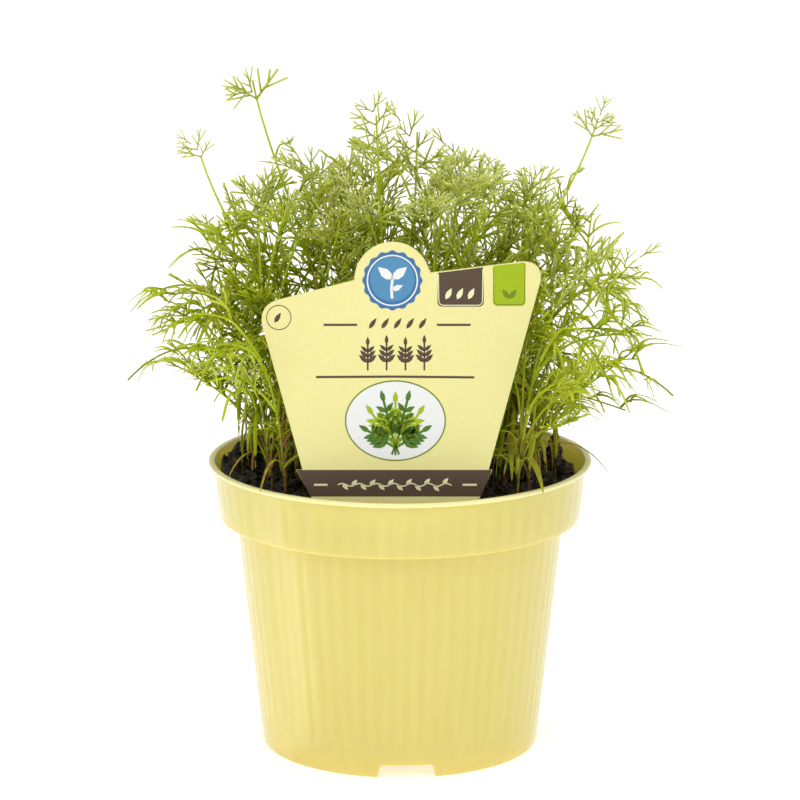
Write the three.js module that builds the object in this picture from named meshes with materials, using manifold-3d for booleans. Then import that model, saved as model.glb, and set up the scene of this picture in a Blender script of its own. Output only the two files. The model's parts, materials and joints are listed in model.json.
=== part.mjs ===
// Dill plants growing in a pale yellow nursery pot, with a card label stuck in the soil.
// Units are millimetres, +Z is up, and the origin is the middle of the pot's foot on the table.
// The front of the pot, where the label stands, faces -Y.
import * as THREE from "three";
import Module from "manifold-3d";
import { mergeVertices } from "three/addons/utils/BufferGeometryUtils.js";

const wasm = await Module();
wasm.setup();

// Driving dimensions of the 13 cm pot
const POT_HEIGHT = 99;
const RIM_RADIUS = 65;
const FOOT_RADIUS = 46.9;
const WALL_TAPER = 0.11;
const WALL = 1.2;
const COLLAR_BOTTOM = 79.4;
const COLLAR_FOOT_RADIUS = 61.2;
const COLLAR_TOP_RADIUS = 63.1;
const LIP_DEPTH = 2.4;
const FLOOR_UNDERSIDE = 4.8;
const FLOOR_THICKNESS = 1.5;
const POT_SIDES = 44;
const NOTCH_WIDTH = 20;
const NOTCH_HEIGHT = 4.6;
const NOTCH_COUNT = 3;
const NOTCH_TURN = THREE.MathUtils.degToRad(2.7);
const DRAIN_RADIUS = 4.5;
const DRAIN_RING = 29;
const DRAIN_COUNT = 6;

// Driving dimensions of the soil
const GAP = 0.4;
const SOIL_LEVEL = 91;
const SOIL_MOUND = 2.5;
const SOIL_LUMP = 1.3;
const SOIL_SECTORS = 22;
const ROOT_DEPTH_LEVEL = 86;
const STEM_HOLE_RADIUS = 2;

// Driving dimensions of the label, measured up the card from where it meets the rim in view
const LABEL_THICKNESS = 0.8;
const LABEL_LEAN = THREE.MathUtils.degToRad(8);
const LABEL_FOOT_Y = -44;
const LABEL_FOOT_Z = 95;
const LABEL_STAKE_DEPTH = 36;
const LABEL_STAKE_HALF_WIDTH = 9;
const LABEL_BUMP_RADIUS = 12.5;

// Driving dimensions of the foliage. A ring has three corners at the given radius from its middle.
const STEM_RADIUS = 1.1;
const STEM_TIP_RADIUS = 0.55;
const LEAF_ROOT_RADIUS = 0.4;
const LEAF_STALK_RADIUS = 0.7;
const LEAF_TIP_RADIUS = 0.48;
const NODE_LENGTH = 1.5;
const THREAD_HALF_WIDTH = 0.4;
const THREAD_LEAN = 42;
const SPRIG_PITCH = 48;
const SPRIG_ROLL = 0.45;
const SPRIG_TRIES = 9;
const NEIGHBOUR_GAP = 0.35;

// The crown of a shoot and the side leaves up it: blade length, pairs of sprigs and thread length.
// A side leaf also has its place along the shoot, its reach and its lift. Threads are longest low down.
const CROWN = { blade: 22, nodes: 3, thread: 7 };
const LOW_CROWN = { blade: 34, nodes: 3, thread: 11 };
const LEAVES = [
  { share: 0.3, reach: 37, lift: 9, blade: 23, nodes: 2, thread: 11 },
  { share: 0.52, reach: 30, lift: 14, blade: 20, nodes: 2, thread: 9.5 },
  { share: 0.75, reach: 21, lift: 17, blade: 16, nodes: 2, thread: 8 },
];

// Each plant of the bunch: where it leaves the soil, where its crown ends, and which side leaves it has.
// The crowns follow the outline of the real plant, tallest left of the middle and widest just above the rim.
const PLANTS = [
  { foot: [-20, 4], crown: [-50, 5, 231.5], leaves: [0, 1] },
  { foot: [-31, -8], crown: [-67, -14, 209], leaves: [0, 1] },
  { foot: [-24, 18], crown: [-56, 27, 190], leaves: [0, 1, 2] },
  { foot: [-10, 10], crown: [-29, 12, 204], leaves: [1, 2] },
  { foot: [-4, -6], crown: [-8, -4, 221], leaves: [1, 2] },
  { foot: [3, 10], crown: [6, 18, 214], leaves: [1, 2] },
  { foot: [8, -12], crown: [15, -12, 204], leaves: [1, 2] },
  { foot: [15, 3], crown: [30, 4, 199], leaves: [1, 2] },
  { foot: [26, -6], crown: [67, -4, 220], leaves: [0, 1] },
  { foot: [25, 14], crown: [52, 22, 190], leaves: [0, 1, 2] },
  { foot: [35, -15], crown: [76, -16, 176], leaves: [0, 1, 2] },
  { foot: [37, 8], crown: [82, 24, 156], leaves: [0, 1, 2] },
  { foot: [43, -24], crown: [90, -38, 129], leaves: [0, 1] },
  { foot: [-43, -21], crown: [-90, -32, 133], leaves: [0, 1] },
  { foot: [-38, 9], crown: [-82, 20, 153], leaves: [0, 1, 2] },
  { foot: [0, 36], crown: [-3, 83, 148], leaves: [0, 1, 2] },
  { foot: [-19, 36], crown: [-46, 68, 158], leaves: [0, 1, 2] },
  { foot: [19, 36], crown: [44, 69, 162], leaves: [0, 1, 2] },
  { foot: [-8, 23], crown: [-16, 43, 196], leaves: [1, 2] },
  { foot: [11, 24], crown: [22, 46, 200], leaves: [1, 2] },
  { foot: [-38, -36], crown: [-65, -79, 140], leaves: [0, 1] },
  { foot: [39, -37], crown: [67, -79, 142], leaves: [0, 1] },
];

// First leaves, the plain straps near the soil: the plant they grow on, their height, heading and length
const STRAPS = [
  { plant: 1, height: 106, heading: 200, length: 27 },
  { plant: 13, height: 104, heading: 235, length: 24 },
  { plant: 14, height: 108, heading: 165, length: 26 },
  { plant: 20, height: 105, heading: 250, length: 22 },
  { plant: 10, height: 110, heading: -50, length: 27 },
  { plant: 12, height: 107, heading: -20, length: 28 },
  { plant: 12, height: 112, heading: -100, length: 20 },
  { plant: 21, height: 106, heading: -70, length: 22 },
  { plant: 11, height: 109, heading: 25, length: 25 },
];

const UP = new THREE.Vector3(0, 0, 1);

// A repeatable number from 0 to 1 for two whole numbers
function draw(i, j) {
  const wave = Math.sin(i * 12.9898 + j * 78.233) * 43758.5453;
  return wave - Math.floor(wave);
}

function vector(x, y, z) {
  return new THREE.Vector3(x, y, z);
}

function direction(azimuth, elevation) {
  const flat = Math.cos(elevation);
  return vector(Math.cos(azimuth) * flat, Math.sin(azimuth) * flat, Math.sin(elevation));
}

// Turning three.js geometry into solids that can be joined and cut, and back
function solidOf(geometry) {
  const bare = geometry.clone();
  bare.deleteAttribute("normal");
  bare.deleteAttribute("uv");
  const merged = mergeVertices(bare, 1e-4);
  const mesh = new wasm.Mesh({
    numProp: 3,
    vertProperties: merged.attributes.position.array,
    triVerts: new Uint32Array(merged.index.array),
  });
  return new wasm.Manifold(mesh);
}

function geometryOf(solid) {
  const mesh = solid.getMesh();
  const geometry = new THREE.BufferGeometry();
  geometry.setAttribute("position", new THREE.BufferAttribute(mesh.vertProperties, 3));
  geometry.setIndex(new THREE.BufferAttribute(mesh.triVerts, 1));
  return geometry;
}

function indexed(points, faces) {
  const geometry = new THREE.BufferGeometry();
  const flat = new Float32Array(points.flatMap((p) => [p.x, p.y, p.z]));
  geometry.setAttribute("position", new THREE.BufferAttribute(flat, 3));
  geometry.setIndex(faces.flat());
  return geometry;
}

function upright(geometry) {
  return geometry.rotateX(Math.PI / 2);
}

// The pot: a thin tapered wall with a deep collar, a rolled lip, a raised drained floor and a notched foot
function wallRadius(z) {
  return FOOT_RADIUS + WALL_TAPER * z;
}

const STEP_RADIUS = wallRadius(COLLAR_BOTTOM);
const COLLAR_INSIDE = [
  [STEP_RADIUS - WALL, COLLAR_BOTTOM + 0.3],
  [COLLAR_FOOT_RADIUS - WALL, COLLAR_BOTTOM + 1.5],
  [COLLAR_TOP_RADIUS - WALL, POT_HEIGHT - LIP_DEPTH],
];

function potSolid() {
  const innerFloor = FLOOR_UNDERSIDE + FLOOR_THICKNESS;
  const outline = [
    [0, FLOOR_UNDERSIDE],
    [wallRadius(FLOOR_UNDERSIDE) - WALL, FLOOR_UNDERSIDE],
    [FOOT_RADIUS - 2, 0],
    [FOOT_RADIUS - 0.5, 0],
    [wallRadius(1), 1],
    [STEP_RADIUS, COLLAR_BOTTOM - 0.6],
    [STEP_RADIUS + 0.7, COLLAR_BOTTOM],
    [COLLAR_FOOT_RADIUS - 0.8, COLLAR_BOTTOM],
    [COLLAR_FOOT_RADIUS, COLLAR_BOTTOM + 0.9],
    [COLLAR_TOP_RADIUS, POT_HEIGHT - LIP_DEPTH],
    [RIM_RADIUS - 0.4, POT_HEIGHT - 2.1],
    [RIM_RADIUS, POT_HEIGHT - 1.2],
    [RIM_RADIUS - 0.6, POT_HEIGHT],
    [RIM_RADIUS - 2.4, POT_HEIGHT],
    ...COLLAR_INSIDE.toReversed(),
    [wallRadius(innerFloor) - WALL, innerFloor],
    [0, innerFloor],
  ];
  const profile = outline.map(([r, z]) => new THREE.Vector2(r, z));
  let pot = solidOf(upright(new THREE.LatheGeometry(profile, POT_SIDES)));
  for (let i = 0; i < NOTCH_COUNT; i += 1) {
    const half = NOTCH_WIDTH / 2;
    const shape = new THREE.Shape();
    shape.moveTo(-half - 1, -NOTCH_HEIGHT);
    shape.lineTo(half + 1, -NOTCH_HEIGHT);
    shape.lineTo(half - 1, NOTCH_HEIGHT);
    shape.lineTo(1 - half, NOTCH_HEIGHT);
    shape.closePath();
    const notch = new THREE.ExtrudeGeometry(shape, { depth: 16, bevelEnabled: false });
    notch.rotateX(Math.PI / 2).translate(0, 8 - FOOT_RADIUS, 0);
    notch.rotateZ(NOTCH_TURN + (i * 2 * Math.PI) / NOTCH_COUNT);
    pot = pot.subtract(solidOf(notch));
  }
  for (let i = 0; i < DRAIN_COUNT; i += 1) {
    const azimuth = ((i + 0.5) * 2 * Math.PI) / DRAIN_COUNT;
    const drain = upright(new THREE.CylinderGeometry(DRAIN_RADIUS, DRAIN_RADIUS, 12, 7));
    drain.translate(DRAIN_RING * Math.cos(azimuth), DRAIN_RING * Math.sin(azimuth), innerFloor);
    pot = pot.subtract(solidOf(drain));
  }
  return pot;
}

// The soil: fills the pot to just under the lip, with a low mound and lumps raised by a formula
function soilHeight(x, y) {
  const share = Math.min(1, Math.hypot(x, y) / 58);
  const coarse = Math.sin(x * 0.31 + 1.7) * Math.cos(y * 0.27 - 0.6);
  const fine = Math.sin(x * 0.73 - y * 0.41 + 2.1) * Math.sin(y * 0.66 + x * 0.19);
  const lumps = SOIL_LUMP * (0.7 * coarse + 0.5 * fine);
  return SOIL_LEVEL + SOIL_MOUND * (1 - share * share) + lumps;
}

function soilSolid() {
  const bottom = FLOOR_UNDERSIDE + FLOOR_THICKNESS + GAP;
  const sides = [
    [wallRadius(bottom) - WALL - GAP, bottom],
    [STEP_RADIUS - WALL - GAP, COLLAR_BOTTOM + 0.9],
    [COLLAR_FOOT_RADIUS - WALL - GAP - 0.3, COLLAR_BOTTOM + 2.1],
  ];
  const topRings = [60.4, 52, 43, 34, 25, 14];
  const points = [];
  const faces = [];
  const ring = (radius, heightAt) => {
    for (let i = 0; i < SOIL_SECTORS; i += 1) {
      const azimuth = (i * 2 * Math.PI) / SOIL_SECTORS;
      const x = radius * Math.cos(azimuth);
      const y = radius * Math.sin(azimuth);
      points.push(vector(x, y, heightAt(x, y)));
    }
  };
  sides.forEach(([radius, z]) => ring(radius, () => z));
  topRings.forEach((radius) => ring(radius, soilHeight));
  const rings = sides.length + topRings.length;
  for (let level = 0; level < rings - 1; level += 1) {
    for (let i = 0; i < SOIL_SECTORS; i += 1) {
      const next = (i + 1) % SOIL_SECTORS;
      const a = level * SOIL_SECTORS + i;
      const b = level * SOIL_SECTORS + next;
      faces.push([a, b, b + SOIL_SECTORS], [a, b + SOIL_SECTORS, a + SOIL_SECTORS]);
    }
  }
  const under = points.push(vector(0, 0, bottom)) - 1;
  const crest = points.push(vector(0, 0, soilHeight(0, 0))) - 1;
  const last = (rings - 1) * SOIL_SECTORS;
  for (let i = 0; i < SOIL_SECTORS; i += 1) {
    const next = (i + 1) % SOIL_SECTORS;
    faces.push([under, next, i], [crest, last + i, last + next]);
  }
  let soil = solidOf(indexed(points, faces));
  for (const plant of PLANTS) {
    const hole = upright(new THREE.CylinderGeometry(STEM_HOLE_RADIUS, STEM_HOLE_RADIUS, 24, 5));
    hole.translate(plant.foot[0], plant.foot[1], ROOT_DEPTH_LEVEL - GAP + 12);
    soil = soil.subtract(solidOf(hole));
  }
  return soil.subtract(solidOf(placedLabel(labelShape(GAP), LABEL_THICKNESS + 2 * GAP)));
}

// The label: a die-cut card with a round head on its top edge, a wider band near the soil and a stake
function labelShape(spread) {
  const stake = LABEL_STAKE_HALF_WIDTH + spread;
  const shape = new THREE.Shape();
  shape.moveTo(-stake, -LABEL_STAKE_DEPTH - spread);
  shape.lineTo(stake, -LABEL_STAKE_DEPTH - spread);
  shape.lineTo(stake + 1, -7);
  shape.lineTo(26.2 + spread, 0.8 - spread);
  shape.lineTo(30.4 + spread, 10.2);
  shape.lineTo(29.2, 10.2);
  shape.lineTo(46.1, 72.5);
  shape.quadraticCurveTo(46.9, 78.6, 40.6, 78.9);
  shape.lineTo(9.8, 75.2);
  shape.absarc(-2.5, 72.8, LABEL_BUMP_RADIUS, 0.2, Math.PI, false);
  shape.lineTo(-39.2, 66.5);
  shape.quadraticCurveTo(-46.5, 64.9, -45.3, 58);
  shape.lineTo(-32.1, 10.2);
  shape.lineTo(-34.2 - spread, 10.2);
  shape.lineTo(-29 - spread, 0.8 - spread);
  shape.lineTo(-stake - 1, -7);
  shape.closePath();
  return shape;
}

function placedLabel(shape, thickness) {
  const card = new THREE.ExtrudeGeometry(shape, {
    depth: thickness,
    bevelEnabled: false,
    curveSegments: 8,
  });
  card.translate(0, 0, -thickness / 2);
  card.rotateX(Math.PI / 2 - LABEL_LEAN);
  return card.translate(0, LABEL_FOOT_Y, LABEL_FOOT_Z);
}

// The foliage is grown as one skin: a leaf or side shoot replaces a face of what carries it.
// Everything placed so far is also kept as round-ended rods, so that new growth can be kept clear of it.
const rods = [];

function rodGap(a, b) {
  const u = a.end.clone().sub(a.start);
  const v = b.end.clone().sub(b.start);
  const w = a.start.clone().sub(b.start);
  const uu = u.dot(u);
  const uv = u.dot(v);
  const vv = v.dot(v);
  const uw = u.dot(w);
  const vw = v.dot(w);
  const spread = uu * vv - uv * uv;
  let s = spread > 1e-9 ? THREE.MathUtils.clamp((uv * vw - vv * uw) / spread, 0, 1) : 0;
  const t = THREE.MathUtils.clamp((uv * s + vw) / vv, 0, 1);
  s = THREE.MathUtils.clamp((uv * t - uw) / uu, 0, 1);
  const between = w.addScaledVector(u, s).addScaledVector(v, -t);
  return between.length() - a.radius - b.radius;
}

// The card's back face at a height, with room to spare; nothing may grow in front of it beside the card
function behindLabel(point) {
  const up = point.z - LABEL_FOOT_Z;
  const halfWidth = 33 + 0.27 * Math.max(0, up);
  const beside = Math.abs(point.x) > halfWidth || point.z > LABEL_FOOT_Z + 92;
  return beside || point.y > LABEL_FOOT_Y + 2.2 + up * Math.tan(LABEL_LEAN);
}

// Inside the bunch's own outline and clear of the soil and the lip
function insideBunch(point) {
  const reach = Math.hypot(point.x, point.y);
  const floor = reach < 66 ? (reach > 56 ? POT_HEIGHT + 0.8 : SOIL_LEVEL + 5.5) : POT_HEIGHT - 12;
  return point.z > floor && Math.abs(point.x) < 93.5 && Math.abs(point.y) < 84;
}

function isClear(rod, owner, frond) {
  if (!behindLabel(rod.start) || !behindLabel(rod.end) || !insideBunch(rod.end)) {
    return false;
  }
  return rods.every((other) => {
    if (other.owner !== owner) {
      return rodGap(rod, other) > NEIGHBOUR_GAP;
    }
    return other.frond !== frond || rod.near.includes(other.tag) || rodGap(rod, other) > 0.05;
  });
}

class Tissue {
  constructor() {
    this.points = [];
    this.faces = [];
  }

  point(p) {
    return this.points.push(p) - 1;
  }

  quad([a, b, c, d]) {
    this.faces.push([a, b, c], [a, c, d]);
  }

  // A thread drawn out of a face to a point
  thread([a, b, c, d], tip) {
    const apex = this.point(tip);
    this.faces.push([a, b, apex], [b, c, apex], [c, d, apex], [d, a, apex]);
  }

  middle(corners) {
    const sum = vector(0, 0, 0);
    corners.forEach((corner) => sum.add(this.points[corner]));
    return sum.divideScalar(corners.length);
  }

  // A four-cornered ring across a direction, turned to match the face that it grows from
  square(corners, centre, along, halfWidth) {
    const [a, b, c, d] = corners.map((corner) => this.points[corner]);
    const across = b.clone().sub(a).add(c).sub(d);
    across.addScaledVector(along, -across.dot(along)).normalize();
    const rise = along.clone().cross(across);
    return [[-1, -1], [1, -1], [1, 1], [-1, 1]].map(([x, y]) => {
      const corner = centre.clone().addScaledVector(across, x * halfWidth);
      return this.point(corner.addScaledVector(rise, y * halfWidth));
    });
  }
}

// A sprig is a short shoot that ends in a thread and carries four more on its sides.
// This works out its threads for one aim, before any of it is added to the leaf.
function sprigPlan(root, along, across, length) {
  const rise = along.clone().cross(across);
  const first = root.clone().addScaledVector(along, length * 0.22);
  const second = first.clone().addScaledVector(along, length * 0.34);
  const lean = THREE.MathUtils.degToRad(THREAD_LEAN);
  const tipOf = (base, side, share) =>
    base
      .clone()
      .addScaledVector(along, Math.cos(lean) * length * share)
      .addScaledVector(side, Math.sin(lean) * length * share);
  const below = root.clone().lerp(first, 0.5);
  const above = first.clone().lerp(second, 0.5);
  return {
    first,
    second,
    end: second.clone().addScaledVector(along, length * 0.9),
    lower: [tipOf(below, rise.clone().negate(), 1), tipOf(below, rise, 1)],
    upper: [tipOf(above, across.clone().negate(), 0.85), tipOf(above, across, 0.85)],
    below,
    above,
  };
}

function sprigRods(plan, owner, frond, tag, near) {
  const rod = (start, end) => ({ start, end, radius: THREAD_HALF_WIDTH, owner, frond, tag, near });
  return [
    rod(plan.below, plan.end),
    ...plan.lower.map((tip) => rod(plan.below, tip)),
    ...plan.upper.map((tip) => rod(plan.above, tip)),
  ];
}

function growSprig(tissue, corners, plan, along) {
  const lowerRing = tissue.square(corners, plan.first, along, THREAD_HALF_WIDTH);
  const upperRing = tissue.square(corners, plan.second, along, THREAD_HALF_WIDTH * 0.85);
  const side = (from, to, k) => [from[k], from[(k + 1) % 4], to[(k + 1) % 4], to[k]];
  tissue.thread(side(corners, lowerRing, 0), plan.lower[0]);
  tissue.thread(side(corners, lowerRing, 2), plan.lower[1]);
  tissue.quad(side(corners, lowerRing, 1));
  tissue.quad(side(corners, lowerRing, 3));
  tissue.thread(side(lowerRing, upperRing, 3), plan.upper[0]);
  tissue.thread(side(lowerRing, upperRing, 1), plan.upper[1]);
  tissue.quad(side(lowerRing, upperRing, 0));
  tissue.quad(side(lowerRing, upperRing, 2));
  tissue.thread(upperRing, plan.end);
}

// A frond is a three-sided stalk along a path. Past its bare part it carries a pair of sprigs at each node.
// stations lists where its rings stand: the middle, the way on, the upper side and the radius.
function frondStations({ path, up, bare, blade, nodes, radiusAt, foot }) {
  const length = path.getLength();
  const stalk = length - blade;
  const places = [];
  const steps = Math.max(2, Math.round(stalk / bare));
  for (let i = 0; i < steps; i += 1) {
    places.push({ s: (i * stalk) / steps, node: -1 });
  }
  for (let i = 0; i < nodes; i += 1) {
    const s = stalk + (i * blade) / nodes;
    places.push({ s, node: i }, { s: s + NODE_LENGTH, node: -1 });
  }
  const stations = places.map(({ s, node }) => {
    const share = s / length;
    const along = path.getTangentAt(share);
    const right = along.clone().cross(up).normalize();
    const top = right.clone().cross(along);
    return { centre: path.getPointAt(share), along, right, top, radius: radiusAt(share), node };
  });
  if (foot) {
    stations.unshift({ ...stations[0], centre: foot });
  }
  return { stations, tip: path.getPointAt(1), length };
}

function frondRods(frond, owner, name) {
  return frond.stations.map((station, i) => {
    const next = frond.stations[i + 1];
    return {
      start: station.centre,
      end: next ? next.centre : frond.tip,
      radius: station.radius * 0.9,
      owner,
      frond: name,
      tag: i,
      near: [i - 2, i - 1, i, i + 1, i + 2],
    };
  });
}

// Tries a sprig's aim a few ways, and keeps the first that is clear of everything else
function placeSprig(tissue, corners, station, side, owner, frond, tag, length) {
  const root = tissue.middle(corners);
  const near = [tag - 1, tag, tag + 1, `${tag}a`, `${tag}b`];
  for (let attempt = 0; attempt < SPRIG_TRIES; attempt += 1) {
    const stray = attempt * (draw(owner * 31 + tag, attempt + 5) - 0.5);
    const pitch = THREE.MathUtils.degToRad(SPRIG_PITCH + 14 * stray);
    const roll = SPRIG_ROLL + 0.5 * attempt * (draw(owner * 17 + tag * 3, attempt + side) - 0.5);
    const outward = station.right.clone().multiplyScalar(side * Math.cos(roll));
    outward.addScaledVector(station.top, Math.sin(roll));
    const along = station.along.clone().multiplyScalar(Math.cos(pitch));
    along.addScaledVector(outward, Math.sin(pitch)).normalize();
    const [a, b, c, d] = corners.map((corner) => tissue.points[corner]);
    const across = b.clone().sub(a).add(c).sub(d);
    across.addScaledVector(along, -across.dot(along)).normalize();
    const plan = sprigPlan(root, along, across, length * (1 - 0.06 * attempt));
    const name = `${tag}${side > 0 ? "a" : "b"}`;
    const grown = sprigRods(plan, owner, frond, name, near);
    if (grown.every((rod) => isClear(rod, owner, frond))) {
      rods.push(...grown);
      growSprig(tissue, corners, plan, along);
      return true;
    }
  }
  return false;
}

function growFrond(frond, owner, name) {
  const tissue = new Tissue();
  const corner = (station, degrees) => {
    const turn = THREE.MathUtils.degToRad(degrees);
    const out = station.right.clone().multiplyScalar(Math.cos(turn));
    out.addScaledVector(station.top, Math.sin(turn));
    return tissue.point(station.centre.clone().addScaledVector(out, station.radius));
  };
  const rings = frond.stations.map((station) => [90, 330, 210].map((turn) => corner(station, turn)));
  tissue.faces.push([rings[0][0], rings[0][2], rings[0][1]]);
  frond.stations.forEach((station, i) => {
    const lower = rings[i];
    const upper = rings[i + 1];
    if (!upper) {
      return;
    }
    const face = (k) => [lower[k], lower[(k + 1) % 3], upper[(k + 1) % 3], upper[k]];
    const shrink = 1 - 0.25 * (station.node / (frond.nodes - 1));
    const sprig = (k, side) => {
      const length = frond.thread * shrink;
      if (station.node < 0 || !placeSprig(tissue, face(k), station, side, owner, name, i, length)) {
        tissue.quad(face(k));
      }
    };
    sprig(0, 1);
    tissue.quad(face(1));
    sprig(2, -1);
  });
  const apex = tissue.point(frond.tip);
  const last = rings.at(-1);
  [0, 1, 2].forEach((k) => tissue.faces.push([last[k], last[(k + 1) % 3], apex]));
  return solidOf(indexed(tissue.points, tissue.faces));
}

// The main shoot of a plant: it stands straight in its hole, then bows out to its crown
const SHOOT_START = SOIL_LEVEL + 6;

function shootFrond(plant, index) {
  const [x, y] = plant.foot;
  const start = vector(x, y, SHOOT_START);
  const crown = vector(...plant.crown);
  const rise = crown.z - start.z;
  const outward = vector(crown.x - x, crown.y - y, 0);
  const low = crown.z < 165;
  const droop = crown.z < 147 ? 0.55 : 0.15;
  const first = start.clone().addScaledVector(UP, rise * (low ? 0.75 + droop : 0.5));
  first.addScaledVector(outward, low ? 0.1 : 0.05);
  const second = crown.clone().addScaledVector(outward, low ? -0.4 : -0.2);
  second.addScaledVector(UP, low ? rise * droop : -rise * 0.28);
  const azimuth = Math.atan2(outward.y, outward.x);
  return {
    ...(low ? LOW_CROWN : CROWN),
    path: new THREE.CubicBezierCurve3(start, first, second, crown),
    up: direction(azimuth + Math.PI + 0.5 * (draw(index, 3) - 0.5), low ? 1.2 : 0.1),
    bare: 15,
    radiusAt: (share) => STEM_RADIUS + (STEM_TIP_RADIUS - STEM_RADIUS) * share,
    foot: vector(x, y, ROOT_DEPTH_LEVEL),
  };
}

// A side leaf leaves the shoot at an acute angle, arches over and ends in the same kind of blade
const SWINGS = [0, 0.3, -0.3, 0.6, -0.6, 0.9, -0.9, 1.3, -1.3, 1.8, -1.8, 2.4];

function sideFrond(shoot, plant, index, k, swing) {
  const leaf = LEAVES[k];
  const root = shoot.path.getPointAt(leaf.share + 0.06 * (draw(index, k + 20) - 0.5));
  const outward = Math.atan2(plant.crown[1] - plant.foot[1], plant.crown[0] - plant.foot[0]);
  const hand = (index + k) % 2 ? 1 : -1;
  const azimuth = outward + hand * (0.7 + 0.6 * draw(index, k + 40)) + swing;
  const away = direction(azimuth, 0);
  const reach = leaf.reach + 5 * draw(index, k + 60);
  const lift = leaf.lift + 8 * draw(index, k + 80);
  const middle = root.clone().addScaledVector(away, reach * 0.42).addScaledVector(UP, lift * 0.5 + 12);
  const end = root.clone().addScaledVector(away, reach).addScaledVector(UP, lift);
  return {
    ...leaf,
    path: new THREE.QuadraticBezierCurve3(root, middle, end),
    up: direction(azimuth + Math.PI, 1.1),
    bare: 11,
    radiusAt: (share) =>
      share < 0.02 ? LEAF_ROOT_RADIUS : LEAF_STALK_RADIUS + (LEAF_TIP_RADIUS - LEAF_STALK_RADIUS) * share,
    foot: null,
  };
}

// A first leaf: one flat strap that arches out and hangs down
function strapPath(shoot, strap, attempt) {
  const root = shoot.path.getPointAt(shareAtHeight(shoot, strap.height));
  const swing = [0, 12, -12, 24, -24, 40, -40, 60][attempt];
  const away = direction(THREE.MathUtils.degToRad(strap.heading + swing), 0);
  const middle = root.clone().addScaledVector(away, strap.length * 0.55).addScaledVector(UP, 9);
  const end = root.clone().addScaledVector(away, strap.length * 0.95);
  const reach = Math.hypot(end.x, end.y);
  const lowest = reach > 55 ? POT_HEIGHT + 2 : SOIL_LEVEL + 7;
  end.z = Math.max(root.z - strap.length * 0.35, lowest);
  return { path: new THREE.QuadraticBezierCurve3(root, middle, end), away };
}

function shareAtHeight(shoot, height) {
  for (let share = 0; share < 1; share += 0.01) {
    if (shoot.path.getPointAt(share).z >= height) {
      return share;
    }
  }
  return 1;
}

function strapStations({ path, away }) {
  const widths = [0.4, 0.8, 1.15, 1.2, 0.9];
  const across = UP.clone().cross(away);
  return widths.map((halfWidth, i) => {
    const share = (i / widths.length) ** 0.9;
    const centre = path.getPointAt(share);
    const top = path.getTangentAt(share).cross(across).negate();
    return { centre, across, top: top.z < 0 ? top.negate() : top, halfWidth };
  });
}

function growStrap(strap) {
  const tissue = new Tissue();
  const stations = strapStations(strap);
  const rings = stations.map(({ centre, across, top, halfWidth }) => {
    const corner = (x, y) =>
      tissue.point(centre.clone().addScaledVector(across, x).addScaledVector(top, y));
    return [corner(halfWidth, 0.15), corner(0, 0.4), corner(-halfWidth, 0.15), corner(0, -0.35)];
  });
  const last = rings.length - 1;
  for (let i = 0; i < last; i += 1) {
    for (let k = 0; k < 4; k += 1) {
      const next = (k + 1) % 4;
      tissue.quad([rings[i][k], rings[i][next], rings[i + 1][next], rings[i + 1][k]]);
    }
  }
  tissue.quad([rings[0][3], rings[0][2], rings[0][1], rings[0][0]]);
  tissue.thread(rings[last], strap.path.getPointAt(1));
  return solidOf(indexed(tissue.points, tissue.faces));
}

// Main shoots first, then side leaves and first leaves, each swung clear of the plants beside it
const shoots = PLANTS.map((plant, index) => {
  const spec = shootFrond(plant, index);
  return { ...spec, ...frondStations(spec) };
});
shoots.forEach((shoot, index) => rods.push(...frondRods(shoot, index, "shoot")));

function firstClear(attempts, make, owner, name) {
  for (let attempt = 0; attempt < attempts; attempt += 1) {
    const made = make(attempt);
    const grown = made.rods;
    const free = grown.slice(1).every((rod) => isClear(rod, owner, name));
    const rootFree = rods.every((other) => other.owner === owner || rodGap(grown[0], other) > NEIGHBOUR_GAP);
    if (free && rootFree) {
      rods.push(...grown);
      return made;
    }
  }
  return null;
}

const fronds = shoots.map((shoot, index) => {
  const plant = PLANTS[index];
  const leaves = [];
  for (const k of plant.leaves) {
    const name = `leaf${k}`;
    const leaf = firstClear(
      SWINGS.length,
      (attempt) => {
        const spec = sideFrond(shoot, plant, index, k, SWINGS[attempt]);
        const laid = { ...spec, ...frondStations(spec) };
        return { frond: laid, name, rods: frondRods(laid, index, name) };
      },
      index,
      name,
    );
    if (leaf) {
      leaves.push(leaf);
    }
  }
  return leaves;
});

const straps = STRAPS.map((strap, i) =>
  firstClear(
    8,
    (attempt) => {
      const laid = strapPath(shoots[strap.plant], strap, attempt);
      const stations = strapStations(laid);
      const name = `strap${i}`;
      const made = stations.map((station, k) => ({
        start: station.centre,
        end: k + 1 < stations.length ? stations[k + 1].centre : laid.path.getPointAt(1),
        radius: station.halfWidth,
        owner: strap.plant,
        frond: name,
        tag: k,
        near: [k - 1, k, k + 1],
      }));
      return { ...laid, rods: made };
    },
    strap.plant,
    `strap${i}`,
  ),
);

function plantSolid(index) {
  const pieces = [growFrond(shoots[index], index, "shoot")];
  fronds[index].forEach(({ frond, name }) => pieces.push(growFrond(frond, index, name)));
  STRAPS.forEach((strap, i) => {
    if (strap.plant === index && straps[i]) {
      pieces.push(growStrap(straps[i]));
    }
  });
  return pieces.reduce((whole, piece) => whole.add(piece));
}

// The finished scene graph: one named mesh for each physical piece
const finish = {
  pot: new THREE.MeshStandardMaterial({ color: 0xe5d882, roughness: 0.42, metalness: 0 }),
  soil: new THREE.MeshStandardMaterial({ color: 0x231c16, roughness: 0.95, metalness: 0 }),
  card: new THREE.MeshStandardMaterial({ color: 0xf7f0a8, roughness: 0.75, metalness: 0 }),
  dill: new THREE.MeshStandardMaterial({ color: 0x7c9c1c, roughness: 0.6, metalness: 0 }),
};

const pottedDill = new THREE.Group();

function place(name, geometry, material) {
  const mesh = new THREE.Mesh(geometry, material);
  mesh.name = name;
  pottedDill.add(mesh);
}

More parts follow.
